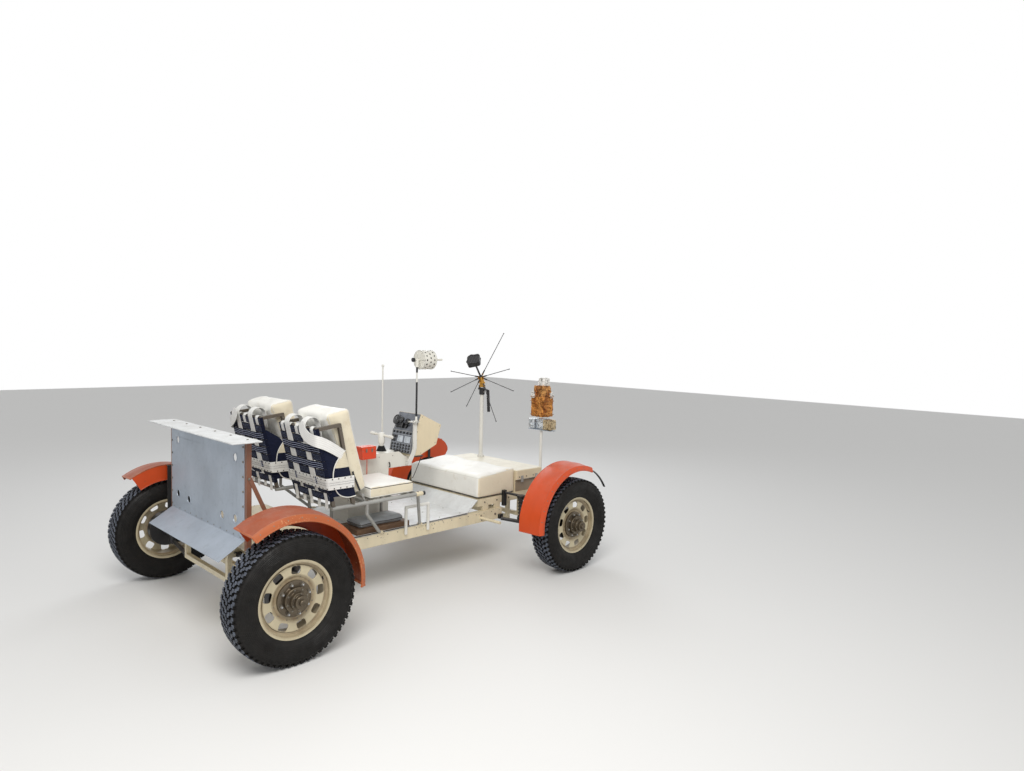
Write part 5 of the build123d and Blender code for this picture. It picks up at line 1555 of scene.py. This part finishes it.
def crumpled(low, high, step, depth, seed, taper=0.0):
    # a closed box whose faces are crumpled like foil
    low, high = Vector(low), Vector(high)
    counts = [max(2, int((high[i] - low[i]) / step)) for i in range(3)]
    middle = (low + high) / 2
    index, points, faces = {}, [], []

    def point(i, j, k):
        key = (i, j, k)
        if key not in index:
            base = Vector([low[a] + (high[a] - low[a]) * key[a] / counts[a] for a in range(3)])
            half = (high - low) / 2
            rel = Vector([(base[a] - middle[a]) / half[a] for a in range(3)])
            # rounded corners
            soft = sum(1 for a in range(3) if abs(rel[a]) > 0.999)
            pull = (0, 0, 0.030, 0.060)[soft] if soft > 1 else 0.0
            base = base + (middle - base) * pull
            if taper and rel.z > 0:
                base.x = middle.x + (base.x - middle.x) * (1 - taper * rel.z)
                base.y = middle.y + (base.y - middle.y) * (1 - taper * rel.z)
            away = (base - middle).normalized()
            rough = noise.turbulence(base * 34 + Vector((seed, seed * 2, 0)), 3, True) - 0.55
            large = noise.noise(base * 13 + Vector((0, seed, seed)))
            index[key] = len(points)
            points.append(base + away * (depth * 1.1 * rough + depth * 0.7 * large - depth * 0.8))
        return index[key]

    for axis in range(3):
        b, c = (axis + 1) % 3, (axis + 2) % 3
        for end in (0, counts[axis]):
            for i in range(counts[b]):
                for j in range(counts[c]):
                    ring = []
                    for di, dj in ((0, 0), (1, 0), (1, 1), (0, 1)):
                        key = [0, 0, 0]
                        key[axis], key[b], key[c] = end, i + di, j + dj
                        ring.append(point(*key))
                    faces.append(tuple(ring) if end else tuple(ring[::-1]))
    return points, faces


def makeCamera():
    head = [(crumpled((1.330, -0.475, 1.124), (1.470, -0.325, 1.305), 0.0115, 0.008, 1.0), "gold_foil"),
            (crumpled((1.343, -0.462, 1.290), (1.457, -0.338, 1.396), 0.0115, 0.007, 2.0, 0.10), "copperFoil"),
            (crumpled((1.368, -0.447, 1.385), (1.452, -0.368, 1.462), 0.008, 0.006, 3.0, 0.12), "whiteFoil"),
            (crumpled((1.332, -0.374, 1.284), (1.376, -0.327, 1.348), 0.008, 0.005, 4.0), "whiteFoil"),
            (crumpled((1.424, -0.473, 1.284), (1.468, -0.430, 1.338), 0.008, 0.005, 5.0), "whiteFoil")]
    lens = [(0.026, 0), (0.026, 0.016), (0.023, 0.018), (0.021, 0.010), (0.004, 0.009)]
    head.append((placed(latheShape(lens, 28), facing((1.452, -0.400, 1.215), (1, 0, 0))), "black_fitting"))
    tapes = []
    for z in (1.150, 1.262, 1.300):
        loop = roundedLoop([(1.328, -0.477, z), (1.472, -0.477, z), (1.472, -0.323, z), (1.328, -0.323, z)], 0.016, 0.02)
        tapes.append(tubeShape([p + Vector((0, 0, 0.002 * noise.noise(p * 20))) for p in loop], 0.0022, 6, True))
    head.append((joined(tapes), "copperFoil"))
    makePiece("cameraFoil", head, "camera", ["camera_head"], sharp=9)
    boxes = [(boxShape((1.370, -0.534, 1.016), (1.430, -0.276, 1.022), 0.0015), "bare_aluminium"),
             (crumpled((1.365, -0.350, 1.022), (1.435, -0.276, 1.112), 0.008, 0.006, 6.0), "silver_foil"),
             (crumpled((1.355, -0.534, 1.022), (1.445, -0.444, 1.116), 0.008, 0.006, 7.0), "tanFoil"),
             (crumpled((1.384, -0.446, 1.022), (1.430, -0.348, 1.116), 0.008, 0.004, 8.0), "silver_foil")]
    for y in (-0.520, -0.400, -0.290):
        boxes.append((hexBolt((1.424, y, 1.016), (0, 0, -1), 0.005, 0.004), "bolts"))
    makePiece("cameraBoxes", boxes, "rover", ["camera_boxes"], sharp=9)


makeCamera()


# Ribbed antenna: ferrules, tips and clamps

ribs = {
    "root": (1.290, 0.247, 1.430), "ferrule": (0.018, 0.078, 0.0062), "tip": 0.0048,
    "ways": [(0.115, -0.165, 0.400), (0.005, -0.355, 0.090), (0.045, -0.370, -0.100), (0.015, -0.195, -0.385),
             (-0.265, -0.110, -0.240), (-0.355, -0.005, -0.120), (-0.350, 0.005, 0.060)],
}


def makeAntenna():
    root = Vector(ribs["root"])
    groups = []
    for way in ribs["ways"]:
        way = Vector(way)
        along = way.normalized()
        near, far, radius = ribs["ferrule"]
        groups.append((tubeShape([root + along * near, root + along * (far - 0.012), root + along * far], [radius, radius, radius * 0.6], 10), "black_fitting"))
        groups.append((tubeShape([root + along * (near + 0.012), root + along * (near + 0.020)], radius * 1.25, 12), "gold_fitting"))
        end = root + way
        groups.append((placed(latheShape([(0.0032, -0.010), (ribs["tip"], -0.006), (ribs["tip"], -0.002), (0.002, 0.0)], 10), facing(end, along)), "black_fitting"))
    # the feed's rounded face, its rim and back plate
    feed = root + Vector((-0.135, -0.050, 0.150))
    way = Vector((-0.135, -0.050, 0.150)).normalized()
    place = facing(feed, way)
    for depth, rim in ((0.0235, 0.006), (-0.010, 0.004)):
        outline = roundedLoop([(-0.050, -0.050, depth), (0.050, -0.050, depth), (0.050, 0.050, depth), (-0.050, 0.050, depth)], 0.018, 0.02)
        groups.append((tubeShape([place @ p for p in outline], rim * 0.6, 8, True), "black_steel"))
    for x in (-0.024, 0.0, 0.024):
        groups.append((placed(boxShape((x - 0.0015, -0.044, 0.0228), (x + 0.0015, 0.044, 0.0252), 0.0005), place), "black_steel"))
    makePiece("antennaFittings", groups, "aerial_dish", sharp=40)
    head = [(tubeShape([(1.300, 0.240, 1.292), (1.300, 0.240, 1.304)], 0.0225, 24), "black_fitting"),
            (hexBolt((1.300, 0.218, 1.298), (0, -1, 0), 0.005, 0.004), "bolts")]
    for k in range(9):
        at = Vector((1.338, 0.202, 1.300)).lerp(Vector((1.3455, 0.1955, 1.135)), k / 8)
        head.append((tubeShape([at + Vector((0, 0, 0.003)), at - Vector((0, 0, 0.003))], 0.0146, 16), "blackFoam"))
    makePiece("antennaGripRings", head, "aerial_head")
    foot = [(placed(latheShape([(0.030, 0.7125), (0.030, 0.720), (0.021, 0.726), (0.019, 0.742), (0.0175, 0.744)], 28),
                    Matrix.Translation((1.300, 0.240, 0))), "white_tube")]
    for k in range(4):
        angle = math.radians(45 + 90 * k)
        foot.append((hexBolt((1.300 + 0.0255 * math.cos(angle), 0.240 + 0.0255 * math.sin(angle), 0.7198), (0, 0, 1), 0.0036, 0.003), "bolts"))
    makePiece("mastFoot", foot, "rover")


makeAntenna()
print("camera and antenna made")


# Bolts, rivets and small trim on the frame, seats and boxes

def rowOf(maker, start, end, count, out, *size):
    start, end = Vector(start), Vector(end)
    return [maker(start.lerp(end, k / max(1, count - 1)), out, *size) for k in range(count)]


drum = {"x": (0.278, 0.388), "y": -0.160, "z": 1.604, "radius": 0.071, "rows": 3, "holes": 14, "hole": 0.0062}


def makeLowAntenna():
    staff = []
    for low, high in ((1.146, 1.436), (1.508, 1.548)):
        staff.append(tubeShape([(0.256, drum["y"], low), (0.256, drum["y"], low + 0.003), (0.256, drum["y"], high - 0.003), (0.256, drum["y"], high)],
                               [0.0062, 0.0074, 0.0074, 0.0062], 14))
    makePiece("lowAntennaSleeves", [(joined(staff), "blackFoam")], "rover")
    holes, rings = [], []
    for row in range(drum["rows"]):
        x = drum["x"][0] + 0.020 + 0.035 * row
        for k in range(drum["holes"]):
            angle = 2 * math.pi * (k + 0.5 * (row % 2)) / drum["holes"]
            out = Vector((0, math.cos(angle), math.sin(angle)))
            at = Vector((x, drum["y"], drum["z"])) + out * (drum["radius"] - 0.0006)
            holes.append(placed(latheShape([(drum["hole"], 0), (drum["hole"], 0.0010), (drum["hole"] * 0.7, 0.0007)], 12), facing(at, out)))
            rings.append(placed(latheShape([(drum["hole"] + 0.0002, 0), (drum["hole"] + 0.0016, 0.0002), (drum["hole"] + 0.0014, 0.0018), (drum["hole"] + 0.0002, 0.0018)], 14, True), facing(at, out)))
    for x in drum["x"]:
        loop = [Vector((x, drum["y"] + drum["radius"] * math.cos(a * math.pi / 20), drum["z"] + drum["radius"] * math.sin(a * math.pi / 20))) for a in range(40)]
        rings.append(tubeShape(loop, 0.0026, 8, True))
    for k in range(6):
        angle = math.pi * k / 3
        out = Vector((0, math.cos(angle), math.sin(angle)))
        foot = Vector((drum["x"][0] - 0.001, drum["y"], drum["z"]))
        rings.append(tubeShape([foot + out * 0.016, foot + out * 0.068], 0.0026, 8))
    knob = latheShape([(0.0145, -0.002), (0.0162, 0.001), (0.0162, 0.013), (0.0145, 0.016), (0.006, 0.017)], 24)
    knobPlace = facing((0.228, drum["y"], drum["z"]), (-1, 0, 0))
    makePiece("lowAntennaFittings", [(joined(rings), "white_tube"), (joined(holes), "blackFoam"), (placed(knob, knobPlace), "black_fitting")], "low_aerial", sharp=40)


makeLowAntenna()


def makeFrameTrim():
    shapes = []
    for side in (-1, 1):
        y = side * 0.4602
        shapes += rowOf(rivet, (-0.86, y, 0.424), (0.86, y, 0.424), 22, (0, side, 0), 0.004)
        shapes += rowOf(hexBolt, (0.665, side * 0.4602, 0.410), (0.673, side * 0.4602, 0.374), 2, (0, side, 0), 0.005, 0.004)
        for x0, x1 in ((0.72, 1.38), (-0.72, -1.26)):
            shapes += rowOf(hexBolt, (x0, side * 0.4402, 0.503), (x1, side * 0.4402, 0.503), 6, (0, side, 0), 0.0055, 0.004)
        for x in (0.80, -0.80):
            shapes += rowOf(hexBolt, (x * 1.02, side * 0.4602, 0.40), (x * 1.02, side * 0.4602, 0.40), 1, (0, side, 0), 0.007, 0.006)
    makePiece("frameBolts", [(joined(shapes), "bolts")], "rover")
    # dark worn strip along the floor's edge
    strips = []
    for side in (-1, 1):
        x = -0.644
        while x < 0.530:
            run = min(0.530, x + dice.uniform(0.05, 0.19))
            tall, wide = 0.4465 + dice.uniform(0.0, 0.0012), dice.uniform(0.012, 0.020)
            strips.append(boxShape((x, min(side * 0.461, side * (0.461 - wide)), 0.4445), (run - dice.uniform(0.001, 0.006), max(side * 0.461, side * (0.461 - wide)), tall), 0.0008))
            x = run
    makePiece("floorEdgeStrips", [(joined(strips), "darkLedge")], "rover")
    floor = []
    for x in (-0.60, -0.30, 0.0, 0.30, 0.50):
        for y in (-0.40, -0.20, 0.20, 0.40):
            if not (-0.44 < x < 0.01 and -0.43 < y < -0.19):
                floor.append(rivet((x, y, 0.4452), (0, 0, 1), 0.005))
    for side in (-1, 1):
        floor += rowOf(rivet, (-0.665, side * 0.424, 0.5362), (-1.015, side * 0.424, 0.5362), 6, (0, 0, 1), 0.0045)
        floor += rowOf(rivet, (-1.045, side * 0.570, 0.5342), (-1.232, side * 0.570, 0.5342), 4, (0, 0, 1), 0.0045)
    makePiece("floorRivets", [(joined(floor), "bolts")], "rover")


def makePanelTrim():
    shapes = []
    for side in (-1, 1):
        shapes += rowOf(hexBolt, (-1.2545, side * 0.538, 0.62), (-1.2545, side * 0.538, 1.13), 7, (-1, 0, 0), 0.0055, 0.0035)
        shapes.append(hexBolt((-1.140, side * 0.5745, 0.752), (0, side, 0), 0.006, 0.004))
        shapes.append(hexBolt((-1.235, side * 0.5745, 0.950), (0, side, 0), 0.007, 0.004))
        shapes.append(hexBolt((-1.050, side * 0.5745, 0.552), (0, side, 0), 0.007, 0.004))
    shapes += rowOf(rivet, (-1.2545, -0.50, 1.144), (-1.2545, 0.50, 1.144), 12, (-1, 0, 0), 0.0042)
    shapes += rowOf(rivet, (-1.2545, -0.50, 0.606), (-1.2545, 0.50, 0.606), 12, (-1, 0, 0), 0.0042)
    rims = []
    for y, z in ((0.434, 1.059), (-0.434, 1.059), (0.434, 0.701), (-0.434, 0.701), (0.255, 0.690), (-0.255, 0.690)):
        ring = latheShape([(0.0236, -0.0002), (0.0300, 0.0), (0.0298, 0.0012), (0.0242, 0.0018)], 32, True)
        rims.append(placed(ring, facing((-1.2541, y, z), (-1, 0, 0))))
    makePiece("toolPanelTrim", [(joined(shapes), "bolts"), (joined(rims), "bare_aluminium")], "rover")
    # the shelf's turned edges
    edge = []
    for x in (-1.364, -1.196):
        edge.append(tubeShape([(x, -0.648, 1.1690), (x, 0.648, 1.1690)], 0.0042, 8))
    for y in (-0.648, 0.648):
        edge.append(tubeShape([(-1.364, y, 1.1690), (-1.196, y, 1.1690)], 0.0042, 8))
    bolts = rowOf(hexBolt, (-1.236, -0.555, 1.1722), (-1.236, 0.555, 1.1722), 6, (0, 0, 1), 0.0055, 0.003)
    makePiece("shelfTrim", [(joined(edge), "white_sheet"), (joined(bolts), "bolts")], "rover")


def makeSeatTrim():
    for name, side in (("right", -1), ("left", 1)):
        sleeves, caps, bolts = [], [], []
        for y in (0.150, 0.580):
            y *= side
            sleeves.append(tubeShape([(-0.062, y, 0.700), (-0.058, y, 0.700), (-0.010, y, 0.700), (-0.006, y, 0.700)], [0.0142, 0.0158, 0.0158, 0.0142], 18))
            caps.append(tubeShape([(-0.006, y, 0.700), (0.0, y, 0.700), (0.0115, y, 0.700), (0.0135, y, 0.700)], [0.0140, 0.0150, 0.0150, 0.0115], 18))
            for x in (-0.045, -0.455):
                bolts.append(hexBolt((x, y, 0.7135), (0, 0, 1), 0.006, 0.004))
        for x in (0.080, -0.255):
            foot = placed(latheShape([(0.028, 0), (0.028, 0.003), (0.020, 0.0045), (0.016, 0.014), (0.0145, 0.015)], 24), Matrix.Translation((x, side * 0.447, 0.4392)))
            sleeves.append(foot)
            bolts.append(hexBolt((x + 0.021, side * 0.447, 0.4420), (0, 0, 1), 0.004, 0.003))
            bolts.append(hexBolt((x - 0.021, side * 0.447, 0.4420), (0, 0, 1), 0.004, 0.003))
        for y in (0.147, 0.583):
            for x, z in ((-0.560, 0.712), (-0.662, 1.195)):
                out = 1 if y > 0.3 else -1
                bolts.append(hexBolt((x, side * (y + out * 0.0112), z), (0, side * out, 0), 0.005, 0.003))
        makePiece(name + "SeatFittings", [(joined(sleeves), "cream_steel"), (joined(caps), "black_fitting"), (joined(bolts), "bolts")], "rover")
        # black strap on the backrest's outer side
        y = side * (0.365 + 0.2075)
        path = smoothLine([(-0.560, y, 0.915), (-0.552, y + side * 0.003, 0.885), (-0.532, y + side * 0.004, 0.840), (-0.506, y + side * 0.001, 0.786)], 5)
        strap = ribbon(path, 0.014, 0.002, (1, 0, 0.3))
        makePiece(name + "BlackStrap", [(strap, "blackFoam")], "rover")


def makeBoxTrim():
    low, high = (-0.235, -0.186, 0.900), (-0.118, -0.110, 0.988)
    groups = [(boxShape((low[0] - 0.0012, low[1] - 0.0012, 0.966), (high[0] + 0.0012, high[1] + 0.0012, 0.9892), 0.002), "orange_box")]
    for y in (low[1] - 0.0012,):
        for x in (-0.200, -0.153):
            groups.append((boxShape((x - 0.006, y - 0.003, 0.950), (x + 0.006, y + 0.001, 0.976), 0.001), "bolts"))
    for x in (-0.228, -0.125):
        for z in (0.908, 0.958):
            groups.append((rivet((x, low[1], z), (0, -1, 0), 0.003), "bolts"))
    makePiece("orangeBoxTrim", groups, "rover")
    # seams, hinges and screws on the console case, the centre box and the front boxes
    shapes, seams, sheets = [], [], []
    outline = [(0.252, 0.895), (0.285, 1.055), (0.330, 1.165), (0.500, 1.085), (0.458, 0.957), (0.318, 0.890)]
    for side in (-1, 1):
        for x, z in outline:
            shapes.append(rivet((x, side * 0.1402, z), (0, side, 0), 0.0034))
        for x in (-0.28, -0.16, -0.04, 0.08):
            shapes.append(rivet((x, side * 0.1102, 0.890), (0, side, 0), 0.0036))
        seams.append(boxShape((1.072, side * 0.4462 - 0.0008, 0.634), (1.370, side * 0.4462 + 0.0008, 0.6365), 0.0004))
        shapes += rowOf(hexBolt, (1.100, side * 0.4462, 0.655), (1.345, side * 0.4462, 0.655), 4, (0, side, 0), 0.0045, 0.003)
        for x in (1.130, 1.300):
            seams.append(boxShape((x - 0.014, min(side * 0.4462, side * 0.4500), 0.612), (x + 0.014, max(side * 0.4462, side * 0.4500), 0.664), 0.001))
        sheets.append(boxShape((1.074, min(side * 0.4252, side * 0.4266), 0.534), (1.328, max(side * 0.4252, side * 0.4266), 0.628), 0.0006))
    sheets.append(boxShape((1.3302, -0.420, 0.534), (1.3314, 0.420, 0.628), 0.0006))
    shapes += rowOf(rivet, (1.3722, -0.42, 0.690), (1.3722, 0.42, 0.690), 9, (1, 0, 0), 0.0042)
    makePiece("boxScrews", [(joined(shapes), "bolts"), (joined(seams), "greyTube"), (joined(sheets), "brownSheet")], "rover")
    plate = [(boxShape((0.212, -0.180, 1.138), (0.278, -0.116, 1.1405), 0.001), "white_tube")]
    for x, y in ((0.222, -0.170), (0.268, -0.170), (0.222, -0.126), (0.268, -0.126)):
        plate.append((hexBolt((x, y, 1.1405), (0, 0, 1), 0.004, 0.003), "bolts"))
    plate.append((placed(latheShape([(0.012, 1.1405), (0.012, 1.150), (0.0085, 1.153), (0.0078, 1.176), (0.0065, 1.178)], 20), Matrix.Translation((0.256, -0.160, 0))), "white_tube"))
    makePiece("lowAntennaFoot", plate, "rover")


makeFrameTrim()
makePanelTrim()
makeSeatTrim()
makeBoxTrim()
print("bolts and trim made")
